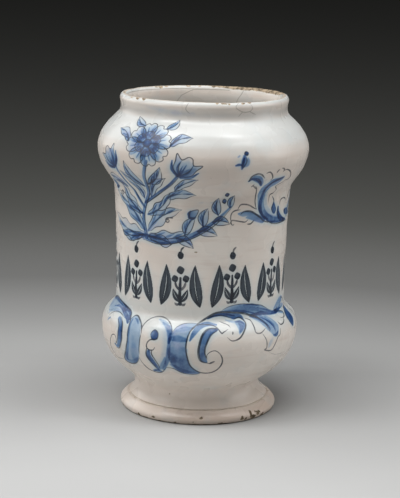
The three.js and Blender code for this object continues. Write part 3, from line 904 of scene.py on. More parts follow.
    # the C scroll
    art.fill([(15.5, -12), (8.5, -12.3), (3.5, -17.5), (1, -26.5), (0.5, -34), (2.5, -40.5), (7, -42.3),
        (7, -39.5), (5.2, -32.5), (6.2, -26), (10, -18), (15.5, -14.2)], (0.6, 0.75), 90)
    art.pen([(9.5, -43), (11, -42.3), (12.8, -41.3)], 1.1, ends=(0.8, 0.8))
    art.brush([(15, -8.2), (7, -7.6), (0.8, -10.4), (-3.6, -16.5), (-6.6, -23)], (1.5, 4.4, 5, 4, 1),
        0.5, soft=1.2)
    # the long leaf over it
    art.fill([(13, 1.8), (20, 4), (28, 7.5), (37.6, 8.5), (50, 7.5), (62, 5), (68, 2.4), (74, -0.6),
        (81, -2.8), (90, -2.2), (102, -0.3), (109, -2.6), (98, -3.8), (91, -3.6), (86, -5.8), (76, -5.4),
        (67.6, -4), (58, -3.6), (49, -1.6), (41, 1.1), (31, 2.5), (21, 3.3)], (0.3, 0.38),
        0, streaks=0.5, pool=0.5)
    art.brush([(42, 7.6), (52, 7), (61, 4.4)], (0.5, 1.6, 0.5), 0.5)
    art.brush([(20, 3.4), (30, 3.6), (42, 2.2), (54, -0.6)], (0.6, 1.8, 2, 0.6), 0.45)
    art.brush([(24, 4.2), (38, 5.2), (54, 3), (66, -1)], (1, 4.4, 4.2, 1), 0.34, soft=2)
    art.brush([(50, -1.5), (62, -1.8), (74, -3.8), (86, -4.4), (97, -3)], (0.8, 3, 3.2, 3, 1), 0.6)
    art.brush([(58, 3.6), (70, -0.2), (80, -3.2)], (0.6, 1.8, 0.6), 0.5)
    art.fill([(5, -3.4), (13.5, 0.8), (20.7, 2.2), (30.8, 1.4), (38, 0.2), (41.2, -2.6), (42, -6.5),
        (37.7, -3.2), (31.8, -4), (28.1, -2.4), (20, -0.6), (11, -1.6)], (0.4, 0.6), 0)
    art.brush([(8, -2.6), (15, 0.2), (24, 0.9), (33, -1)], (0.8, 2, 2.2, 0.6), 0.8)
    art.fill([(32.5, -7), (37.5, -5.6), (40.8, -8.5), (39.8, -12), (36.6, -16), (33.5, -18.5),
        (33.5, -14), (33, -10.5)], (0.2, 0.62), 0, soft=1.2, pool=0)
    art.brush([(33, -6.2), (38, -6.6), (40.8, -9.4), (40, -14)], (1, 2.4, 2.4, 1), 0.45)
    art.brush([(36, -8.5), (37.2, -12), (34.6, -16.5)], (2, 5, 1.5), 0.4, soft=1.4, pool=0)
    art.brush([(24, -4), (31, -6.2), (37.5, -5.6)], (1, 2.4, 1), 0.22, soft=1.4, pool=0)
    # the leaf that hangs at the right, and the folds past it
    art.brush([(50, -2.8), (57.5, -5.8), (63.5, -11), (66.5, -17), (68.5, -23)], (2, 7, 11, 11, 4),
        0.4, streaks=0.5, soft=1.4)
    art.brush([(66, -4), (70.9, -11), (72.8, -18), (72, -24)], (2, 5, 6, 1.5), 0.3, soft=1.6)
    art.brush([(49, -3), (55, -4.2), (59.5, -8.3), (63, -13.4), (64.5, -19)], (1.2, 3, 3.2, 2, 0.6), 0.66)
    art.brush([(60, -5), (65.5, -9), (68.5, -14), (70, -21)], (0.6, 2, 2, 0.6), 0.5)
    art.brush([(67, -23.6), (70, -24.2), (73, -22)], (1, 3, 1.2), 0.6, soft=1.2)
    art.brush([(62.5, -6), (67, -11), (69, -17)], (0.8, 1.6, 0.6), 0.3)
    art.brush([(66, -27), (63.4, -30), (61.6, -33.6)], (2.5, 4.6, 1.5), 0.16, soft=2.2, pool=0)
    art.fill([(66, 5.7), (72, 7.9), (84.3, 8.5), (100, 8), (112, 1), (100, 0.6), (89.4, -1.5), (78.2, -1),
        (70.2, 1.9)], (0.02, 0.07), 0, streaks=0.2, soft=3, pool=0)
    art.brush([(84, -2.4), (89, -0.6), (94, 1.6), (102, 4)], (3, 7, 8, 5), 0.36, streaks=0.5, soft=1.4)
    art.brush([(84, -3.4), (90, -4.8), (96, -8)], (2, 4.4, 2), 0.32, soft=1.4)
    art.fill([(112, -5.2), (108.8, -10.1), (106.6, -19.1), (101.5, -23.6), (96.3, -15), (101.7, -7.8)],
        (0.85, 0.75), 90)
    lined(art, BAND_LINES)


def band_behind(art):
    """Round the back the band is a plainer running branch. Its stem swings as a sine of the way
    round, and each bend holds a lobed leaf, a smaller one, a curl and berries."""
    begin, bends, width, middle, swing = 129, 8, 30.4, -28, 10
    stem = np.array([(begin + width * i / 2, middle + swing * math.sin(math.pi * i / 2))
                     for i in range(2 * bends + 1)])
    art.brush(stem, (1.5, *[3.2, 2.4] * bends, 1.5), 0.6, streaks=0.4)
    art.pen(stem - (0, 1.5), 0.6)
    for i in range(bends):
        side = -1 if i % 2 else 1

        def at(*points):
            """Points from where the stem enters the bend, counted on and into its hollow."""
            return [(begin + width * i + on, middle - side * into) for on, into in points]

        leaf(art, *at((1, 1), (24, 20)), 12, -5 * side, 0.66, lobes=2)
        leaf(art, *at((17, -9), (30, -20)), 7.5, 2.4 * side, 0.6)
        art.pen(at((29, 2), (30, 8), (26, 12), (21.5, 9.5), (22.5, 5), (26, 6)), 0.65)
        for stalk, fruit in (((9, -8.5), (7, -16)), ((12, -9.5), (12.5, -19.5))):
            art.pen(at(stalk, fruit), 0.5)
            berry(art, at(fruit)[0], 1.9, 0.8)


# The frieze: the nearest stalk to the front, the way from one leaf or stalk to the next, and the
# heights of the leaves' tips, of the berries over the stalks and of the foot of it all, which lies
# higher where the long leaf below it reaches up, from the third place on
FRIEZE_START = -17.5
FRIEZE_STEP = 15.8
FRIEZE_TOP = 43.5
FRIEZE_BERRY = 51.6
FRIEZE_FOOT = (7.0, 9.2)


def frieze(art):
    """Round the front of the waist, in dark ink: pairs of bold leaves that lean apart, and between
    the pairs a three-berried stalk with a stemmed berry over it. It repeats at every third step."""
    chance = np.random.default_rng(FRIEZE_SEED)
    for i in range(-6, 9):
        x = FRIEZE_START + FRIEZE_STEP * i
        foot = FRIEZE_FOOT[i > 2]
        lean, reach = chance.uniform(-0.8, 0.8), chance.uniform(-1, 1)
        if i % 3:
            side = 1 if i % 3 == 1 else -1
            tip = (x - side * 2.6 + lean, FRIEZE_TOP + reach)
            bold_leaf(art, (x + side * 2.5, foot), tip, side * 2.2)
            continue
        stalk = [(x, foot + 2.4), (x + lean, foot + 12), (x, foot + 25)]
        art.brush(stalk, (3.2, 2.6, 1.8), 0.95, "ink", soft=0.4, streaks=0.15)
        for dx, ds, radius in ((-5.1, 24, 3.2), (5.1, 24.5, 3.2), (0, 31.8, 3.6)):
            berry(art, (x + dx, foot + ds), radius, 0.95, "ink", line=0)
            art.pen([(x, foot + 14), (x + dx * 0.7, foot + 17.5), (x + dx, foot + 22)], 1.5)
        for side in (-1, 1):
            bold_leaf(art, (x, foot + 4), (x + side * 6.8, foot + 15.5), side * -1.2, 5.2)
            art.pen([(x, foot + 2.8), (x + side * 3, foot + 1.6), (x + side * 5, foot + 3)], 1.4)
        drop = [(-2.6, 0), (-1.4, 2.7), (0.8, 2.6), (2.5, 0.4), (1.2, -2.6), (-1.4, -2.4)]
        drop = carried(drop, (x, FRIEZE_BERRY), size=1.1)
        art.fill(drop, (0.95, 0.85), 90, "ink", soft=0.5, streaks=0.1)
        art.pen([(x, 54), (x + 0.8, 57), (x + 3, 59)], 1.1)


def bold_leaf(art, root, tip, bend, width=11.0):
    """A leaf laid on full in ink, darker along its edges, with a thin light midrib."""
    rib, left, right = blade(root, tip, width, bend)
    gap = 0.35 * np.sin(np.linspace(0, math.pi, len(rib)))[:, None] * (1, 0)
    for edge, side in ((left, -1), (right, 1)):
        half = np.vstack([rib + gap * side, edge[-2:0:-1]])
        art.fill(half, (0.82, 0.7), 90, "ink", streaks=0.25, soft=0.5, pool=0.4)


def smears(art, lip):
    """Thin colour that a wet brush or finger dragged over the raw glaze."""
    for points, widths, depth, soft in (
        ([(-60, lip - 8), (-44, lip - 9.5), (-26, lip - 11.5), (-8, lip - 11)], (2, 6, 6, 2), 0.075, 4),
        ([(-14, lip - 13.5), (4, lip - 13), (22, lip - 13.5)], (1, 3, 1), 0.05, 3),
        ([(44, lip - 12), (60, lip - 10), (72, lip - 9)], (1, 4, 1), 0.04, 3),
        ([(-2, 97), (2, 98.5), (6, 98)], (0.8, 2, 0.8), 0.1, 1.6),
        ([(8, 97.5), (14, 99), (21, 101)], (0.8, 2.4, 0.8), 0.09, 1.8),
        ([(-6, 88), (1, 89.5), (9, 90.5)], (0.8, 2, 0.8), 0.09, 1.6),
        ([(12, 107), (17, 108), (22, 106.5)], (2, 5, 2), 0.035, 3),
        ([(26, 142), (27.2, 143)], (1, 1), 0.25, 1.4),
        ([(-9, 112), (6, 114), (26, 112)], (2, 8, 2), 0.03, 6),
        ([(150, 120), (172, 123), (196, 119)], (2, 7, 2), 0.04, 5),
        ([(-190, 64), (-172, 66), (-150, 62)], (2, 6, 2), 0.04, 5),
    ):
        art.brush(points, widths, depth, soft=soft, pool=0)


def behind(art):
    """The back is plain but for three sprigs."""
    small_sprig(art, (-GIRTH / 2 + 2, 128), 1.5, 10)
    small_sprig(art, (168, 70), 1.3, -30)
    small_sprig(art, (-168, 74), 1.3, 200)


# What handling did, in mm. The ripple of a worn edge is a sum of sines: waves round the jar, height
# and start. The worn lip is a sum of bells: degrees from the front, reach in degrees,
# height and power. Places where the glaze is only thin, on the lip, the incised step and the foot's
# edge: how far up from there, how far it reaches and how bare it is. The rest is how far the clay
# shows at the footing and all round the lip, the half width of the incised line, which is dark with
# dirt and painted shade, and how much of the ripple each edge takes.
RIPPLE = ((7, 0.5, 0.4), (17, 0.45, 2.1), (31, 0.4, 4), (53, 0.35, 1.2), (97, 0.3, 5.1))
WORN_LIP = ((130, 33, 3, 6), (166, 13, 1.4, 2))
WORN_LIP_MIDDLE = 1.9
WORN_LEAST = 0.6
THINNED = ((1.2, 1.4, 0.4), (0, 0.8, 0.3), (3.5, 2, 0.1))
STEP_HEIGHT = 11.4
BARE_FOOTING = 2.0
INCISED_SHADE_HALF = 0.42
EDGE_RIPPLE = 0.35
THIN_RIPPLE = 0.05
INCISED_RIPPLE = 0.1
WORN_EVERYWHERE = 0.25


def wear(art, line):
    """Flakes, bare edges and fine cracks, where such a jar is knocked and handled."""
    up = slice(0, line.rise)
    lip = np.interp(line.z.max() - PROFILE_STEP / 2, line.z[up], line.s[up])
    step = np.interp(STEP_HEIGHT, line.z[up], line.s[up])
    foot = art.s[0]
    x, s = np.meshgrid(art.x, art.s)
    ripple = sum(high * np.sin(n * x / GIRTH_RADIUS + start) for n, high, start in RIPPLE)
    # the unglazed edge that the foot stands on
    bare = step_up(foot + BARE_FOOTING + EDGE_RIPPLE * ripple - s, -0.35, 0.35)
    # the lip worn to the clay at the back right
    angle = np.degrees(x / GIRTH_RADIUS)
    worn = sum(high * np.exp(-(((angle - at) / reach) ** n)) for at, reach, high, n in WORN_LIP)
    worn += WORN_EVERYWHERE + EDGE_RIPPLE * ripple
    clay = step_up(worn - np.abs(s - (lip + WORN_LIP_MIDDLE)), -0.3, 0.5)
    bare = np.maximum(bare, clay * (worn > WORN_LEAST))
    # glaze so thin that the clay tints it
    for start, (on, reach, depth) in zip((lip, step, foot), THINNED):
        thin = (depth + THIN_RIPPLE * ripple) * np.exp(-(((s - (start + on)) / reach) ** 2))
        bare = np.maximum(bare, thin)
    art.layers["bare"] = np.maximum(art.layers["bare"], bare)
    # the incised step is drawn as a dark line in the crack colour: dirt and painted shade
    incised = INCISED_SHADE_HALF + INCISED_RIPPLE * ripple - np.abs(s - step)
    art.layers["crack"] = np.maximum(art.layers["crack"], incised)
    for degrees, on, wide, tall, deep in (
        (-58, -1.2, 1.6, 0.8, 0.4), (-51, -0.8, 2.6, 1.5, 0.7), (-44.5, -0.9, 2.4, 1.3, 0.6),
        (9, -0.8, 1.6, 1, 0.4), (13.5, -1.2, 2.6, 1.1, 0.6), (17, -1.8, 1.2, 0.8, 0.4),
        (27, -1.4, 1.6, 1.2, 0.5), (32, -0.6, 2.4, 1, 0.5), (47, 0.6, 1.8, 0.9, 0.4),
        (-144, 3.4, 2.6, 1.6, 0.7), (-140, 3, 1.8, 0.8, 0.4), (-149, 3, 2, 0.8, 0.4),
        (-167, 3, 2.4, 1, 0.5), (173, 3.2, 2.4, 1.2, 0.6), (-176, 3, 1.6, 0.7, 0.4),
        (118, 3.4, 4, 1.6, 0.8), (138, 3.6, 3, 1.5, 0.7), (150, 3.2, 2.4, 1.4, 0.6),
        (92, 0.4, 2.2, 1, 0.5), (-92, 0.6, 1.8, 1, 0.4),
    ):
        art.chip(math.radians(degrees) * GIRTH_RADIUS, lip + on, (wide, tall), deep)
    art.chip(-4, 55, (1.2, 0.5), 0.2)
    for x0, on, wide, tall, deep in (
        (48, 4.8, 1.6, 2.2, 0.8), (52.6, 3.6, 1.6, 1.2, 0.5), (59.8, 7.4, 1.7, 3.3, 1.1),
        (62.5, 3.9, 4, 1.9, 1), (70.5, 6.3, 3.6, 1.9, 1), (66.8, 8, 0.9, 1.2, 0.5),
        (77.5, 3.2, 2.6, 1.3, 0.7), (4.5, 7.8, 1.7, 1.1, 0.5), (-3.5, 4.2, 0.7, 0.6, 0.3),
        (-88.5, 15.6, 0.8, 0.6, 0.3), (-35.5, 30, 0.7, 0.6, 0.3), (-46, 4.4, 1.6, 1, 0.4),
        (-22, 2.2, 1.5, 0.9, 0.4), (-66, 3, 1.8, 1, 0.4), (24, 2.4, 2.4, 0.9, 0.4),
        (-150, 3, 5, 2.4, 1), (176, 4, 3, 2, 0.8), (120, 2.8, 2.4, 1.3, 0.6),
        (-101, 2.6, 2, 1.1, 0.5),
    ):
        art.chip(x0, foot + on, (wide, tall), deep)
    for points in (
        [(-148, 3), (-146, 10), (-149, 20), (-146, 34)],
        [(-225, 12), (-238, 7), (-245, 6), (242, 2)],
        [(205, 3), (209, 9), (214, 15), (219, 26)],
        [(-225, 12), (-219, 20), (-221, 31)],
        [(33, -1), (30, -5), (37, -9), (44, -9), (47, -6), (44, -1)],
        [(37, -9), (33, -13)],
        [(44, -9), (52, -12)],
        [(-14, -2), (-16, -7), (-12, -11)],
        [(88, -3), (90, -12), (86, -26)],
    ):
        crack = [(x0, lip + on) for x0, on in points]
        art.pen(crack, 0.55, layer="crack", ends=(0.9, 0.5))


# The glazed wall


# How the throwing strays, in mm and radians. Out of round: waves round the jar, how far, where they
# start, and the way up the wall in which they turn by one. Finger rings: the way from one to the
# next, and height. They waver by one wave and by two, and their strength is a mean, a swing and its
# length. Lumps: their height, waves round the jar and length up it, for as many as LUMPS. The foot's
# narrowest ring: how far to the left, how far up the wall, and reach.
OUT_OF_ROUND = ((2, 0.22, 0.8, 190), (3, 0.12, -1.1, 140))
FINGER_RINGS = ((9.3, 0.05), (14.7, 0.06), (23, 0.08), (41, 0.1))
RING_WAVER = (0.8, 0.5)
RING_STRENGTH = (0.7, 0.3, 37)
LUMPS = 14
LUMP_HEIGHT = 0.022
LUMP_WAVES = (4, 26)
LUMP_LENGTH = (16, 60)
FOOT_ASIDE = (1.7, -90, 7)
ANY_START = 6  # nearly a whole turn


def throwing(x, s):
    """How far the wall strays from a true turning. It is a little out of round, carries the shallow
    rings of the potter's fingers, as sines up the wall that waver round it, and is lumpy where the
    glaze lies thick, as crossed long sines. The foot's narrowest ring sits to the left, by a bell
    up the wall times the sine of the angle."""
    chance = np.random.default_rng(THROWING_SEED)
    turn = x / GIRTH_RADIUS
    stray = sum(far * np.cos(n * turn + start + s / rise) for n, far, start, rise in OUT_OF_ROUND)
    mean, swing, long = RING_STRENGTH
    for wave, height in FINGER_RINGS:
        waver = RING_WAVER[0] * np.sin(turn + chance.uniform(0, ANY_START))
        waver = waver + RING_WAVER[1] * np.sin(2 * turn + chance.uniform(0, ANY_START))
        strength = mean + swing * np.sin(s / long + chance.uniform(0, ANY_START))
        stray = stray + height * strength * np.sin(2 * math.pi * s / wave + waver)
    for _ in range(LUMPS):
        round_it = int(chance.integers(*LUMP_WAVES))
        wave = chance.uniform(*LUMP_LENGTH)
        start = chance.uniform(0, 2 * math.pi)
        stray = stray + LUMP_HEIGHT * np.sin(round_it * turn + 2 * math.pi * s / wave + start)
    aside, at, reach = FOOT_ASIDE
    return stray - aside * np.sin(turn) * np.exp(-(((s - at) / reach) ** 2))


# The stray fades in over STILL_FOOT mm of wall from the foot's edge, and between STILL_MIDDLE mm from
# the axis. Paint tinges the glaze HALO mm round it, and ink INK_TINGE as much as a wash.
STILL_FOOT = 6
STILL_MIDDLE = (4, 22)
HALO = 3.0
INK_TINGE = 0.5


@functools.cache
def wall():
    """The whole glazed wall: its painting, its places in mm and the way that each of them faces.
    A place is the profile turned to its angle, moved along the profile's own square by the stray
    of the throwing less the dents. The facing is the cross product of the steps round and up."""
    line = outline(bpy.context.scene.jar_sizes)
    rows, cells, s = {}, {}, []
    for name, (low, high) in stretches(line).items():
        cell = INNER_CELL if "inside" in name else OUTER_CELL
        cells[name] = max(1, round((high - low) / cell))
        here = np.linspace(low, high, cells[name] * FINE + 1)
        first = max(0, len(s) - 1)
        s = here if not len(s) else np.r_[s, here[1:]]
        rows[name] = slice(first, len(s))
    x = (np.arange(COLUMNS) / COLUMNS - 0.5) * GIRTH - PAINT_AT[0]
    art = Painting(s, x)
    spray(art)
    small_sprig(art)
    scroll(art)
    scroll_band(art)
    band_behind(art)
    frieze(art)
    behind(art)
    smears(art, line.s[line.rise])
    wear(art, line)
    r, z = np.interp(s, line.s, line.r), np.interp(s, line.s, line.z)
    dr, dz = np.gradient(line.r, line.s), np.gradient(line.z, line.s)
    square = np.column_stack((np.interp(s, line.s, dz), -np.interp(s, line.s, dr)))
    square /= np.hypot(*square.T)[:, None]
    grid_x, grid_s = np.meshgrid(x, s)
    still = step_up(s, s[0], s[0] + STILL_FOOT) * step_up(r, *STILL_MIDDLE)
    stray = throwing(grid_x, grid_s) * still[:, None] - art.layers["dent"]
    out = r[:, None] + stray * square[:, :1]
    up = np.maximum(z[:, None] + stray * square[:, 1:], 0)
    tinge = art.layers["wash"] + INK_TINGE * art.layers["ink"]
    art.layers.update(halo=blurred(tinge, s, HALO), out=out, up=up)
    place = turned(out, up)
    over = np.concatenate([place[:, -1:], place, place[:, :1]], axis=1)
    facing = np.cross((over[:, 2:] - over[:, :-2]), np.gradient(place, s, axis=0))
    facing /= np.linalg.norm(facing, axis=2, keepdims=True)
    return SimpleNamespace(rows=rows, cells=cells, s=s, r=r, z=z, place=place, facing=facing,
                           out=out, up=up, layers=art.layers)


def blurred(layer, s, reach):
    """A layer over rows s and the columns, each value replaced by the bell-weighted mean of those
    within reach mm: along the rows by the product of two spectra, up the wall by a table of
    weights."""
    wave = 2 * math.pi * np.fft.rfftfreq(COLUMNS, GIRTH / COLUMNS)
    spectrum = np.fft.rfft(layer, axis=1) * np.exp(-0.5 * (wave * reach) ** 2)
    layer = np.fft.irfft(spectrum, COLUMNS, axis=1)
    weight = np.exp(-0.5 * ((s[:, None] - s) / reach) ** 2) * np.gradient(s)
    return weight / weight.sum(axis=1, keepdims=True) @ layer


def turned(out, up):
    """Places in space of radii and heights over the columns: x by sine, y by minus cosine."""
    turn = (np.arange(COLUMNS) / COLUMNS - 0.5) * 2 * math.pi
    return np.stack((out * np.sin(turn), -out * np.cos(turn), up), axis=-1)


def wall_run(name):
    """A run of the wall between two seams, ready to be meshed."""
    w = wall()
    here = w.rows[name]
    return SimpleNamespace(
        place=w.place[here], facing=w.facing[here], cells=w.cells[name],
        long=float(w.s[here.stop - 1] - w.s[here.start]),
        layers={key: layer[here] for key, layer in w.layers.items()},
    )


def bridge(start, corners, end, bare=None):
    """Straight runs from one row of the wall to another through corners of (radius, height). Each
    end follows the wall's own stray, and between them it fades from the one to the other."""
    w = wall()

    def row(which):
        """The stray and the layers of a row of the wall, or none of them over the axis."""
        if which is None:
            return 0, 0, {key: LINE_FLOOR if key in ("line", "crack") else 0 for key in w.layers}
        return (w.out[which] - w.r[which], w.up[which] - w.z[which],
                {key: layer[which] for key, layer in w.layers.items()})

    ends = [[] if which is None else [(w.r[which], w.z[which])] for which in (start, end)]
    path = np.array([*ends[0], *corners, *ends[1]], float)
    sizes = np.hypot(*np.diff(path, axis=0).T)
    before = np.r_[0, np.cumsum(sizes)] / sizes.sum()
    (r0, z0, first), (r1, z1, last) = row(start), row(end)
    runs = []
    for i, size in enumerate(sizes):
        count = max(1, round(size / INNER_CELL))
        t = np.linspace(0, 1, count * FINE + 1)[:, None]
        part = before[i] + (before[i + 1] - before[i]) * t
        out = path[i, 0] + (path[i + 1, 0] - path[i, 0]) * t + (1 - part) * r0 + part * r1
        up = path[i, 1] + (path[i + 1, 1] - path[i, 1]) * t + (1 - part) * z0 + part * z1
        out, up = (np.broadcast_to(v, (len(t), COLUMNS)) for v in (out, up))
        way = (path[i + 1] - path[i]) / size
        flat = turned(np.full_like(out, way[1]), np.full_like(up, -way[0]))
        layers = {key: np.broadcast_to((1 - part) * first[key] + part * last[key], out.shape)
                  for key in first}
        layers.update(out=out, up=up)
        if bare is not None:
            free = ((part > 0) | (start is None)) & ((part < 1) | (end is None))
            layers["bare"] = np.where(free, np.maximum(layers["bare"], bare), layers["bare"])
        runs.append(SimpleNamespace(place=turned(out, up), facing=flat, cells=count, long=size,
                                    layers=layers))
    return runs


# From the runs to a mesh


def rough_cells(run):
    """Which coarse cells need cutting up: those where a layer strays from the straight blend of
    its corners by more than its tolerance, and those that a fine line crosses."""
    def cut(grid):
        """The fine points over each coarse cell, with those on all its edges."""
        closed = np.concatenate([grid, grid[:, :1]], axis=1)
        blocks = np.lib.stride_tricks.sliding_window_view(closed, (FINE + 1, FINE + 1))
        return blocks[::FINE, ::FINE]

    t = np.linspace(0, 1, FINE + 1)
    rough = np.zeros((run.cells, CELLS_ROUND), bool)
    for key, allowed in TOLERANCE.items():
        block = cut(run.layers[key])
        low = block[..., 0, 0, None] * (1 - t) + block[..., 0, -1, None] * t
        high = block[..., -1, 0, None] * (1 - t) + block[..., -1, -1, None] * t
        straight = low[..., None, :] * (1 - t[:, None]) + high[..., None, :] * t[:, None]
        off = np.abs(block - straight).max(axis=(2, 3)) > allowed
        if key in ("line", "crack"):
            off &= block.max(axis=(2, 3)) > NEAR_LINE
            off |= block.max(axis=(2, 3)) > NEAR_LINE + LINE_MARGIN
        rough |= off
    return rough


def face_corners(row, column, rough, merged, needed):
    """The lattice row and column of each corner of each face, the column where its cell begins,
    and how many corners each face has. A plain cell is walked round, and the needed points of its
    edge are kept. A rough one is cut into squares."""
    step = np.arange(FINE)
    nil = np.zeros(FINE, int)
    walk_up = np.r_[nil, step, nil + FINE, FINE - step]
    walk_on = np.r_[step, nil + FINE, FINE - step, nil]
    edge_row = row[~rough][:, None] + walk_up
    edge_column = column[~rough][:, None] + walk_on
    kept = needed[merged[edge_row], edge_column % COLUMNS]
    edge_home = np.broadcast_to(column[~rough][:, None], kept.shape)
    a, b = (v.ravel() for v in np.meshgrid(step, step, indexing="ij"))
    quad_row = row[rough][:, None, None] + a[:, None] + np.array((0, 0, 1, 1))
    quad_column = column[rough][:, None, None] + b[:, None] + np.array((0, 1, 1, 0))
    quad_home = np.repeat(column[rough], 4 * FINE * FINE)
    rows = np.concatenate([edge_row[kept], quad_row.ravel()])
    columns = np.concatenate([edge_column[kept], quad_column.ravel()])
    home = np.concatenate([edge_home[kept], quad_home])
    counts = np.concatenate([kept.sum(axis=1), np.full(quad_row.size // 4, 4)])
    return rows, columns, home, counts


# The bake's picture, as shares of it: its margin, how tall the strip of each half of the wall is,
# how much higher the back half's lies, and the level of the two caps between them
UV_MARGIN = 0.004
UV_STRIP = 0.484
UV_BACK = 0.508
UV_CAPS = 0.498


def unrolled(columns, home, up):
    """Where corners lie in the bake's picture: the front half of the wall in a strip below, and the
    back half in one above. A cell lies in the half that its own first column is in."""
    quarter = COLUMNS // 4
    back = (home < quarter) | (home >= 3 * quarter)
    onward = np.where(home < quarter, columns + COLUMNS, columns)
    across = (onward - np.where(back, 3 * quarter, quarter)) / (2 * quarter)
    level = UV_MARGIN + UV_STRIP * up + np.where(back, UV_BACK, 0)
    return np.column_stack((UV_MARGIN + (1 - 2 * UV_MARGIN) * across, level))


def meshed(name, runs, closed=True):
    """A glazed mesh of runs joined end to end. Rough cells are cut into fine ones, and a cell
    beside them becomes one face that takes in the fine points on their common edge, so no gap
    opens. A piece that doesn't close on itself has a small flat face at each end, over the axis."""
    lengths = [len(run.place) for run in runs]
    starts = np.cumsum([0, *lengths])
    begun = np.cumsum([0, *(run.long for run in runs)])
    long = np.concatenate([
        at + run.long * np.linspace(0, 1, count) for at, run, count in zip(begun, runs, lengths)
    ])
    place = np.concatenate([run.place for run in runs])
    facing = np.concatenate([run.facing for run in runs])
    layers = {key: np.concatenate([run.layers[key] for run in runs]) for key in runs[0].layers}
    layers["facing_up"] = facing[..., 2]
    # the first row of a run is the last one of the run before it
    shared = np.zeros(starts[-1], int)
    shared[starts[1:-1]] = 1
    merged = np.arange(starts[-1]) - np.cumsum(shared)
    if closed:
        merged[-1] = 0
    height = merged.max() + 1
    first_row = np.zeros(height, int)
    first_row[merged[::-1]] = np.arange(starts[-1])[::-1]
    # the points that are needed: the corners of every cell, all of a seam's, all of a rough cell's
    bottom = np.concatenate([at + FINE * np.arange(run.cells) for at, run in zip(starts, runs)])
    rough = np.concatenate([rough_cells(run) for run in runs])
    row, column = np.meshgrid(bottom, FINE * np.arange(CELLS_ROUND), indexing="ij")
    needed = np.zeros((height, COLUMNS), bool)
    needed[merged[row], column] = True
    needed[merged[row + FINE], column] = True
    needed[merged[[0, *(starts[1:] - 1)]]] = True
    for a in range(FINE + 1):
        for b in range(FINE + 1):
            needed[merged[row[rough] + a], (column[rough] + b) % COLUMNS] = True
    index = np.cumsum(needed).reshape(needed.shape) - 1
    rows, columns, home, counts = face_corners(row, column, rough, merged, needed)
    uv = unrolled(columns, home, long[rows] / long[-1])
    vertex = index[merged[rows], columns % COLUMNS]
    normal = facing[rows, columns % COLUMNS]
    if not closed:
        for end, way, across in ((0, -1, 0.75), (len(place) - 1, 1, 0.25)):
            ring = np.flatnonzero(needed[merged[end]])[::way]
            vertex = np.r_[vertex, index[merged[end], ring]]
            normal = np.vstack([normal, facing[end, ring]])
            counts = np.r_[counts, len(ring)]
            turn = ring / COLUMNS * 2 * math.pi
            cap = np.column_stack((np.cos(turn), np.sin(turn))) * UV_MARGIN + (across, UV_CAPS)
            uv = np.vstack([uv, cap])
    mesh = bpy.data.meshes.new(name)
    points = place[first_row][needed] * MM
    mesh.vertices.add(len(points))
    mesh.vertices.foreach_set("co", points.ravel())
    mesh.loops.add(len(vertex))
    mesh.loops.foreach_set("vertex_index", vertex.astype(np.int32))
    mesh.polygons.add(len(counts))
    mesh.polygons.foreach_set("loop_start", np.r_[0, np.cumsum(counts)[:-1]].astype(np.int32))
    mesh.polygons.foreach_set("use_smooth", np.ones(len(counts), bool))
    mesh.uv_layers.new(name="OFBake").data.foreach_set("uv", uv.astype(np.float32).ravel())
    for key in PAINTED:
        layer = mesh.attributes.new(key, "FLOAT", "POINT")
        layer.data.foreach_set("value", layers[key][first_row][needed].astype(np.float32))
    mesh.update(calc_edges=True)
    mesh.normals_split_custom_set(normal.astype(np.float32))
    if mesh.validate(verbose=False):
        raise RuntimeError(f"{name}: the mesh needed repair")
    mesh.materials.append(tin_glaze())
    piece = bpy.data.objects.new(name, mesh)
    bpy.context.scene.collection.objects.link(piece)
    return piece


# Finishes


def add(tree, kind, inputs=(), out=0, ramp=(), **settings):
    """Adds a node with its settings and links, and returns the output asked for. The inputs come
    in the sockets' order or by name, and each is a socket to link or a value to set. A ramp is a
    list of (position, colour)."""
    node = tree.nodes.new("ShaderNode" + kind)
    for key, value in settings.items():
        setattr(node, key, value)
    named = inputs.items() if isinstance(inputs, dict) else enumerate(inputs)
    for key, value in named:
        if isinstance(value, bpy.types.NodeSocket):
            tree.links.new(value, node.inputs[key])
        else:
            node.inputs[key].default_value = value
    if ramp:
        stops = node.color_ramp.elements
        while len(stops) < len(ramp):
            stops.new(1.0)
        for stop, (position, tint) in zip(stops, ramp):
            stop.position = position
            stop.color = (*tint, 1)
    return node.outputs[out] if node.outputs else None


def emptied(holder):
    """Takes the nodes out of a new material or world, and returns what adds a node there."""
    holder.use_nodes = True
    holder.node_tree.nodes.clear()
    return functools.partial(add, holder.node_tree)


# How a range eases in and out
SMOOTH = {"interpolation_type": "SMOOTHSTEP"}


def per_mm(mm):
    """Scale of a noise whose features are this many mm across, on coordinates in metres."""
    return 1 / (mm * MM)


# The glaze's noises: where each is taken, how many mm its features are across, and its detail
NOISES = {
    "clouds": (0.3, 55, 3),
    "mottle": (0.7, 17, 2),
    "grains": (0.1, 2, 2),
    "patches": (2.1, 12, 1),
    "violet": (3.3, 16, 1),
    "speckle": (0.5, 1.3, 2),
    "streak": (1.5, 8, 2),
    "flow": (0.9, 7, 2),
    "grit": (0.2, 1.1, 3),
    "handled": (0.4, 3.2, 2),
    "gloss": (0.6, 24, 2),
    "ripple": (0.8, 9, 1),
    "peel": (0.35, 2.2, 1),
}
RIDGES = (0.2, 3.5, 2)  # likewise, drawn out round the jar
DRAWN_OUT = (0.12, 0.12, 1)
PINHOLES = 7  # mm from one cell of their pattern to the next

# Where the glaze changes, in mm: heights from none to all of the stem's thin glaze, lightened as
# painted light, and of the slab's thin glaze with painted shade, how far to the right the slab's
# painted shade begins and is full, with its shares there, and heights round which it pooled at the
# waist and painted shade greys the groove, with how far that reaches. Bare clay is darkened low on
# the foot as painted shade.
STEM_GLAZE_AND_LIGHT = (32, 24)
SLAB_GLAZE_AND_SHADE = (13, 8)
SLAB_SHADE_TO_RIGHT = (-60, -10, 0.2, 0.9)
WAIST_POOL = (102, 14)
GROOVE_SHADE = (268.5, 6)
CLAY_SHADE_LOW = (16, 4)

RELIEF = 0.1  # mm that a relief of 1 stands for


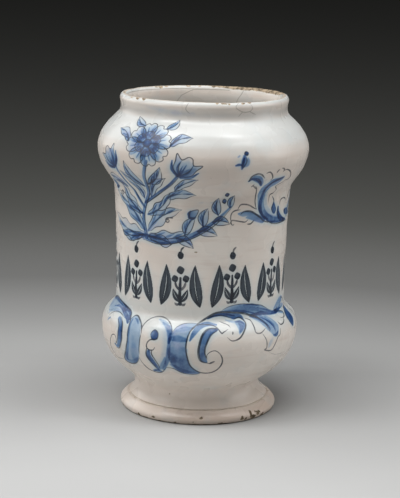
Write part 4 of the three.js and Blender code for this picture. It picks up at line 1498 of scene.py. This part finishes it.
@functools.cache
def tin_glaze():
    """Tin glaze, dipped and fired over buff earthenware. It is opaque, milky and glossy, thicker
    and cooler in the hollows and thinner and warmer on the edges, with a faint ripple that
    softens what it mirrors. Painted shade greys what faces up, the tie groove and the slab, and
    painted light lightens the stem. The cobalt is brushed on the raw glaze, sinks in as it fires
    and bleeds a little. Where the glaze has flaked off, dull clay shows, darkened by handling and,
    low on the foot, by painted shade."""
    c = bpy.context.scene.jar_colours
    tone = {key: (*getattr(c, key), 1) for key in JarColours.__annotations__}
    material = bpy.data.materials.new("tin_glaze")
    put = emptied(material)
    tint = {"out": 2, "data_type": "RGBA"}
    times, plus = {"operation": "MULTIPLY"}, {"operation": "ADD"}
    most, fused = {"operation": "MAXIMUM"}, {"operation": "MULTIPLY_ADD"}
    loose = {"noise_dimensions": "4D"}
    place = put("TexCoord", out="Object")
    across, height = (put("SeparateXYZ", (place,), axis) for axis in "XZ")
    wash, ink, line, bare, crack, halo, upward = (
        put("Attribute", attribute_name=key, out="Fac") for key in PAINTED
    )
    noise = {
        key: put("TexNoise", (place, at, per_mm(mm), detail), **loose)
        for key, (at, mm, detail) in NOISES.items()
    }
    drawn_out = put("Mapping", {"Vector": place, "Scale": DRAWN_OUT})
    ridges = put("TexNoise", (drawn_out, RIDGES[0], per_mm(RIDGES[1]), RIDGES[2]), **loose)

    # the glaze: clouds where it ran thin, warm lines on the ridges of the throwing, a greyer tone on
    # what faces up, partly settled glaze and partly painted shade, thin on the stem and lightened there
    # as painted light, thin on the slab with painted shade that deepens to the right, pooled at the
    # waist, painted shade in the groove, mottled, and tinged by the paint round it
    # the slab's painted shade grows towards the right
    low, high, *shares = SLAB_SHADE_TO_RIGHT
    shade_to_right = put("MapRange", (across, low * MM, high * MM, *shares), **SMOOTH)
    from_waist, from_groove = (
        put("Math", (put("Math", (height, at * MM), operation="SUBTRACT"),), operation="ABSOLUTE")
        for at, _ in (WAIST_POOL, GROOVE_SHADE)
    )
    ground = tone["glaze"]
    for source, none, full, level, key in (
        (noise["clouds"], 0.4, 0.75, 0.8, "glaze_warm"),
        (ridges, 0.5, 0.75, 0.6, "glaze_warm"),
        # painted shade: a greyer tone on what faces up
        (upward, 0.05, 0.65, 1, "settled_glaze_and_shade"),
        # painted light: a lighter tone on the stem
        (height, STEM_GLAZE_AND_LIGHT[0] * MM, STEM_GLAZE_AND_LIGHT[1] * MM, 0.95, "stem_glaze_and_light"),
        # painted shade on the slab, deeper to the right
        (height, SLAB_GLAZE_AND_SHADE[0] * MM, SLAB_GLAZE_AND_SHADE[1] * MM, shade_to_right, "slab_glaze_and_shade"),
        (from_waist, WAIST_POOL[1] * MM, 0, 0.8, "glaze_pool"),
        # painted shade in the tie groove
        (from_groove, GROOVE_SHADE[1] * MM, 0, 0.8, "groove_shade"),
        (noise["mottle"], 0.5, 0.75, 0.22, "glaze_cool"),
        (halo, 0, 0.3, 0.9, "glaze_cool"),
    ):
        there = put("MapRange", (source, none, full, 0, level), **SMOOTH)
        ground = put("Mix", {0: there, 6: ground, 7: tone[key]}, **tint)

    # cobalt washes: the raw glaze drank them unevenly, in grains and patches, and where they are
    # weak some of them fired towards violet
    thirst = put("MapRange", (noise["grains"], 0.3, 0.7, 0.93, 1.07), **SMOOTH)
    pools = put("MapRange", (noise["patches"], 0.3, 0.7, 0.78, 1.2), **SMOOTH)
    drunk = put("Math", (put("Math", (wash, thirst), **times), pools), **times)
    cobalt = put("ValToRGB", (drunk,), ramp=(
        (0.0, c.wash_pale), (0.12, c.wash_pale), (0.38, c.wash_middle), (0.66, c.wash_deep),
        (0.92, c.wash_dark)))
    violet = put("MapRange", (noise["violet"], 0.48, 0.72, 0, 0.55), **SMOOTH)
    weak = put("MapRange", (drunk, 0.62, 0.25), **SMOOTH)
    violet = put("Math", (violet, weak), **times)
    cobalt = put("Mix", {0: violet, 6: cobalt, 7: tone["wash_violet"]}, **tint)
    washed = put("MapRange", (drunk, 0.01, 0.16), **SMOOTH)

    # the dark ink: thinner where it was not doubled, and speckled where the brush ran dry
    dry = put("Math", (noise["speckle"], noise["streak"]), **plus)
    dry = put("MapRange", (dry, 1.0, 1.3, 0, 0.6), **SMOOTH)
    single = put("MapRange", (ink, 0.95, 0.6, 0, 0.75), **SMOOTH)
    dry = put("Math", (dry, single), **most)
    dark = put("Mix", {0: dry, 6: tone["ink"], 7: tone["ink_thin"]}, **tint)
    inked = put("MapRange", (ink, 0.1, 0.55), **SMOOTH)

    # fine outlines, fainter where the pen ran thin, and cracks
    flow = put("MapRange", (noise["flow"], 0.3, 0.6, 0.66, 0.94), **SMOOTH)
    drawn = put("Math", (put("MapRange", (line, -0.15, 0.15), **SMOOTH), flow), **times)
    split = put("MapRange", (crack, -0.15, 0.2, 0, 0.55), **SMOOTH)

    # pinholes and iron specks: the middles of a few cells of their pattern
    spot, chosen = (
        put("TexVoronoi", {"Vector": place, "Scale": per_mm(PINHOLES)}, out)
        for out in ("Distance", "Color")
    )
    few = put("MapRange", (put("SeparateColor", (chosen,)), 0.86, 0.9), **SMOOTH)
    speck = put("Math", (put("MapRange", (spot, 0.05, 0.025), **SMOOTH), few), **times)
    spotted = put("Math", (speck, 0.7), **times)

    # glaze worn thin, then bare clay with a ragged edge, darker in patches from handling and low on the
    # foot as painted shade
    thinned = put("MapRange", (bare, 0.02, 0.4, 0, 0.95), **SMOOTH)
    ragged = put("Math", (bare, put("MapRange", (noise["grit"], 0.2, 0.8, -0.22, 0.22))), **plus)
    flaked = put("MapRange", (ragged, 0.4, 0.62), **SMOOTH)
    # painted shade: bare clay darker low on the foot
    low = put("MapRange", (height, CLAY_SHADE_LOW[0] * MM, CLAY_SHADE_LOW[1] * MM, 0, 0.85), **SMOOTH)
    handled = put("MapRange", (noise["handled"], 0.4, 0.6, 0, 0.85), **SMOOTH)
    handled = put("Math", (low, handled), **most)
    clay = put("Mix", {0: handled, 6: tone["clay"], 7: tone["clay_dark"]}, **tint)
    surface = ground
    for there, coat in (
        (washed, cobalt),
        (inked, dark),
        (drawn, tone["line"]),
        (split, tone["crack"]),
        (spotted, tone["clay_dark"]),
        (thinned, tone["glaze_edge"]),
        (flaked, clay),
    ):
        surface = put("Mix", {0: there, 6: surface, 7: coat}, **tint)

    # an uneven gloss, and none on the clay
    gloss = put("MapRange", (noise["gloss"], 0.3, 0.7, 0.22, 0.34), **SMOOTH)
    dull = put("Mix", {0: flaked, 2: gloss, 3: 0.88}, data_type="FLOAT")

    # relief: the glaze's ripple and peel, the clay's grain, and the pinholes sunk in
    relief = put("Math", (noise["ripple"], 0.3), **times)
    relief = put("Math", (noise["peel"], 0.05, relief), **fused)
    relief = put("Math", (put("Math", (noise["grit"], flaked), **times), 1.6, relief), **fused)
    relief = put("Math", (speck, -0.5, relief), **fused)
    bump = put("Bump", {"Height": relief, "Distance": RELIEF * MM, "Strength": 1.0})
    shader = put("BsdfPrincipled", {
        "Base Color": surface, "Roughness": dull, "Normal": bump, "IOR": 1.52})
    put("OutputMaterial", {"Surface": shader})
    return material


SIGHT = ("Is Camera Ray", "Is Glossy Ray", "Is Transmission Ray")


def seen(put):
    """1 for a ray that shows the backdrop, straight on, mirrored or through glass, otherwise 0."""
    straight, mirrored, through = (put("LightPath", out=name) for name in SIGHT)
    straight = put("Math", (straight, mirrored), operation="MAXIMUM")
    return put("Math", (straight, through), operation="MAXIMUM")


# Painted light on the paper: a pale pool round the jar that darkens with the distance in metres from
# a spot in front of it, with how much of the near colour is left, how a painted glow falls off
# farther on, and the distances over which that glow takes over
PAPER_SPOT = (-0.05, -0.5, 0)
PAPER_LIGHT_FADE = (
    (0, 1), (0.31, 0.99), (0.38, 0.945), (0.46, 0.85), (0.62, 0.74), (0.8, 0.48), (1, 0.24),
)
GLOW_NEAR, GLOW_FALL, GLOW_FAR = 0.15, 1.65, 0.008
GLOW_FROM = (0.85, 1.5)
HORIZON_GLOW = 0.013
FIBRE = 3  # mm across a fibre as it is drawn

# The paper is shaded beside the foot, where the soft lamps alone would leave it too light. A place
# is scaled, which draws the shade out backwards, and moved so that the darkest spot comes to 0. What
# follows is how much light is left at each distance from there, and where the shade ends behind.
SHADOW_AT = (-0.05, -0.0175, 0)
SHADOW_DRAWN = (1, 0.65, 1)
SHADOW_FADE = (
    (0, 0.46), (0.02, 0.48), (0.03, 0.58), (0.037, 0.67), (0.05, 0.8), (0.07, 0.87), (0.11, 0.94),
    (0.17, 1),
)
SHADOW_BACK = (0.125, 0.088)


def studio_paper():
    """Matt background paper with painted light and shade: a painted pool of light where the jar
    stands, darker with the distance from a spot in front of it, and a painted shadow beside the
    foot. Where it is too far for the lamps it shows a painted glow to the camera and in reflections,
    by GLOW_NEAR over the distance to the power GLOW_FALL, plus GLOW_FAR. Its grain is too fine to
    see, so it is drawn larger."""
    s = bpy.context.scene.jar_stage
    material = bpy.data.materials.new("studio_paper")
    put = emptied(material)
    place = put("TexCoord", out="Object")
    far = put("VectorMath", (place, PAPER_SPOT), "Value", operation="DISTANCE")
    shade = put("ValToRGB", (far,), ramp=[
        (at, [n * k + f * (1 - k) for n, f in zip(s.floor_near, s.floor_far_shade)])
        for at, k in PAPER_LIGHT_FADE
    ])
    beside = put("Mapping", {"Vector": place, "Location": SHADOW_AT, "Scale": SHADOW_DRAWN})
    beside = put("VectorMath", (beside,), "Value", operation="LENGTH")
    shadow = put("ValToRGB", (beside,), ramp=[(at, (k, k, k)) for at, k in SHADOW_FADE])
    back = put("MapRange", (put("SeparateXYZ", (place,), "Y"), *SHADOW_BACK), **SMOOTH)
    shaded = {0: back, 6: shade, 7: shadow}
    shade = put("Mix", shaded, 2, data_type="RGBA", blend_type="MULTIPLY")
    fibre = put("TexNoise", {"Vector": place, "Scale": per_mm(FIBRE), "Detail": 3.0})
    bump = put("Bump", {"Height": fibre, "Distance": RELIEF * MM, "Strength": 0.3})
    paper = put("BsdfPrincipled", {
        "Base Color": shade, "Roughness": 0.95, "Normal": bump, "Specular IOR Level": 0.1})
    fallen = put("Math", (far, -GLOW_FALL), operation="POWER")
    glow = put("Math", (fallen, GLOW_NEAR, GLOW_FAR), operation="MULTIPLY_ADD")
    light = put("Emission", {"Color": (*s.backdrop, 1), "Strength": glow})
    distant = put("MapRange", (far, *GLOW_FROM), **SMOOTH)
    distant = put("Math", (distant, seen(put)), operation="MULTIPLY")
    put("OutputMaterial", {"Surface": put("MixShader", (distant, paper, light))})
    return material


# Operators: one for each section of the jar, and one for the stage


def standing(piece, *nodes):
    """What every section says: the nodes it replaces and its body."""
    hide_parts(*nodes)
    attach(piece, "root")


# How bare of glaze the hollow under the foot is, and the floor's underside
HOLLOW_BARE = 0.9
UNDERSIDE_BARE = 0.6


class JAR_OT_foot(bpy.types.Operator):
    """Throw and glaze the splayed foot, hollow underneath, with its worn edge"""

    bl_idname = "jar.foot"
    bl_label = "Foot"

    def execute(self, context):
        w = wall()
        here = w.rows["foot"]
        hollow = context.scene.jar_sizes.hollow_radius / MM
        footing = w.r[0] - FOOTING_WIDTH
        corners = [(hollow, w.z[here.stop - 1]), ((hollow + footing) / 2, HOLLOW_TURN), (footing, 0)]
        under = bridge(here.stop - 1, corners, here.start, bare=HOLLOW_BARE)
        piece = meshed("glazed_foot", [wall_run("foot"), *under])
        standing(piece, "foot", "foot_slip_ring")
        return {"FINISHED"}


class JAR_OT_lower_body(bpy.types.Operator):
    """Throw and paint the lower swelling, closed by the jar's floor"""

    bl_idname = "jar.lower_body"
    bl_label = "Lower body"

    def execute(self, context):
        w = wall()
        outer, inner = w.rows["lower_body"], w.rows["lower_inside"]
        hollow = context.scene.jar_sizes.hollow_radius / MM
        seam = w.z[outer.start]
        corners = [(POLE, seam + FLOOR_RISE), (hollow, seam + FLOOR_RISE), (hollow, seam)]
        under = bridge(None, corners, outer.start, bare=UNDERSIDE_BARE)
        over = bridge(outer.stop - 1, [], inner.start)
        runs = [*under, wall_run("lower_body"), *over, wall_run("lower_inside")]
        piece = meshed("glazed_lower_body", runs, closed=False)
        standing(piece, "lower_body", "lower_slip_ring")
        return {"FINISHED"}


def section(name, node, ring, inside):
    """A section between two seams: its outside, the seam on top, its inside and the seam below."""
    w = wall()
    outer, inner = w.rows[node], w.rows[inside]
    over = bridge(outer.stop - 1, [], inner.start)
    under = bridge(inner.stop - 1, [], outer.start)
    piece = meshed(name, [wall_run(node), *over, wall_run(inside), *under])
    standing(piece, node, ring)


class JAR_OT_waist(bpy.types.Operator):
    """Throw and paint the tall waist"""

    bl_idname = "jar.waist"
    bl_label = "Waist"

    def execute(self, context):
        section("glazed_waist", "waist", "waist_slip_ring", "waist_inside")
        return {"FINISHED"}


class JAR_OT_upper_body(bpy.types.Operator):
    """Throw and paint the upper swelling"""

    bl_idname = "jar.upper_body"
    bl_label = "Upper body"

    def execute(self, context):
        section("glazed_upper_body", "upper_body", "upper_slip_ring", "upper_inside")
        return {"FINISHED"}


class JAR_OT_neck(bpy.types.Operator):
    """Throw and glaze the neck with its chipped and worn lip"""

    bl_idname = "jar.neck"
    bl_label = "Neck"

    def execute(self, context):
        here = wall().rows["neck"]
        under = bridge(here.stop - 1, [], here.start)
        piece = meshed("glazed_neck", [wall_run("neck"), *under])
        standing(piece, "neck")
        return {"FINISHED"}


# The camera and the lamps, which face the middle of the jar: for each lamp its place and size in
# metres. The floor's rings grow from the first one, which closes its middle.
CAMERA_AT = (-0.0009, -1.3202, 0.4213)
CAMERA_PITCH = math.radians(11.974)
CAMERA_ROLL = math.radians(1.25)
CAMERA_LENS = 109.56
JAR_MIDDLE = (0, 0, 0.15)
LAMPS = {
    "left": ((-1.4, -0.6, 0.8), (0.9, 0.9)),
    "left_back": ((-1.4, 0.8, 0.9), (1.0, 1.4)),
    "right": ((1.6, -0.1, 0.8), (1.2, 1.6)),
    "top": ((0.8, 0.12, 1.7), (1.2, 1.0)),
    "front_left": ((-0.7, -0.5, 1.62), (1.4, 0.45)),
    "front": ((0, -0.4, 1.68), (2.4, 0.4)),
}
FLOOR_RADIUS = 9.0
FLOOR_FIRST = 0.05
FLOOR_RINGS = 24
FLOOR_TURNS = 96


def lamp(name, at, size, power):
    """A soft rectangular lamp that faces the middle of the jar."""
    light = bpy.data.lights.new(name, "AREA")
    light.shape = "RECTANGLE"
    light.size, light.size_y = size
    light.energy = power
    thing = bpy.data.objects.new(name, light)
    thing.location = at
    thing.rotation_euler = (Vector(JAR_MIDDLE) - Vector(at)).to_track_quat("-Z", "Y").to_euler()
    thing.visible_camera = False
    bpy.context.scene.collection.objects.link(thing)


class JAR_OT_stage(bpy.types.Operator):
    """Lay the paper floor, set the soft lamps and place the camera"""

    bl_idname = "jar.stage"
    bl_label = "Stage"

    def execute(self, context):
        s = context.scene.jar_stage
        self.floor()
        for name, (at, size) in LAMPS.items():
            lamp(f"{name}_lamp", at, size, getattr(s, f"{name}_power"))
        world = bpy.data.worlds.new("dark_room")
        context.scene.world = world
        put = emptied(world)
        light = put("Background", ((1, 1, 1, 1), s.room))
        beyond = put("Background", ((*s.backdrop, 1), HORIZON_GLOW))
        put("OutputWorld", (put("MixShader", (seen(put), light, beyond)),))
        lens = bpy.data.cameras.new("camera")
        lens.lens = CAMERA_LENS
        camera = bpy.data.objects.new("camera", lens)
        camera.location = CAMERA_AT
        level = Matrix.Rotation(math.pi / 2 - CAMERA_PITCH, 3, "X")
        camera.rotation_euler = (level @ Matrix.Rotation(CAMERA_ROLL, 3, "Z")).to_euler()
        context.scene.collection.objects.link(camera)
        context.scene.camera = camera
        context.scene.view_settings.view_transform = "Standard"
        return {"FINISHED"}

    def floor(self):
        """A flat disc: rings whose radii grow by a fixed share, each at the same angles."""
        rings = np.geomspace(FLOOR_FIRST, FLOOR_RADIUS, FLOOR_RINGS)
        turn = np.linspace(0, 2 * math.pi, FLOOR_TURNS, endpoint=False)
        x, y = np.outer(rings, np.cos(turn)), np.outer(rings, np.sin(turn))
        points = np.column_stack((x.ravel(), y.ravel(), np.zeros(x.size)))
        index = np.arange(x.size).reshape(x.shape)
        ahead = np.roll(index, -1, axis=1)
        faces = np.stack((index[:-1], index[1:], ahead[1:], ahead[:-1]), axis=-1).reshape(-1, 4)
        mesh = bpy.data.meshes.new("paper_floor")
        mesh.from_pydata(points.tolist(), [], [index[0].tolist(), *faces.tolist()])
        mesh.materials.append(studio_paper())
        thing = bpy.data.objects.new("paper_floor", mesh)
        bpy.context.scene.collection.objects.link(thing)


class JAR_PT_panel(bpy.types.Panel):
    """The jar's sizes, colours and makers"""

    bl_label = "Jar"
    bl_idname = "JAR_PT_panel"
    bl_space_type = "VIEW_3D"
    bl_region_type = "UI"
    bl_category = "Jar"

    def draw(self, context):
        for name, group in GROUPS.items():
            box = self.layout.box()
            for key in group.__annotations__:
                box.prop(getattr(context.scene, name), key)
        for maker in MAKERS:
            self.layout.operator(maker.bl_idname)


MAKERS = (JAR_OT_foot, JAR_OT_lower_body, JAR_OT_waist, JAR_OT_upper_body, JAR_OT_neck, JAR_OT_stage)
GROUPS = {"jar_sizes": JarSizes, "jar_colours": JarColours, "jar_stage": StageSettings}
KINDS = (*GROUPS.values(), *MAKERS, JAR_PT_panel)


def register():
    for kind in KINDS:
        bpy.utils.register_class(kind)
    for name, group in GROUPS.items():
        setattr(bpy.types.Scene, name, bpy.props.PointerProperty(type=group))


def unregister():
    for name in GROUPS:
        delattr(bpy.types.Scene, name)
    for kind in reversed(KINDS):
        bpy.utils.unregister_class(kind)


def main():
    register()
    bpy.ops.jar.foot()
    bpy.ops.jar.lower_body()
    bpy.ops.jar.waist()
    bpy.ops.jar.upper_body()
    bpy.ops.jar.neck()
    bpy.ops.jar.stage()


if __name__ == "__main__":
    main()
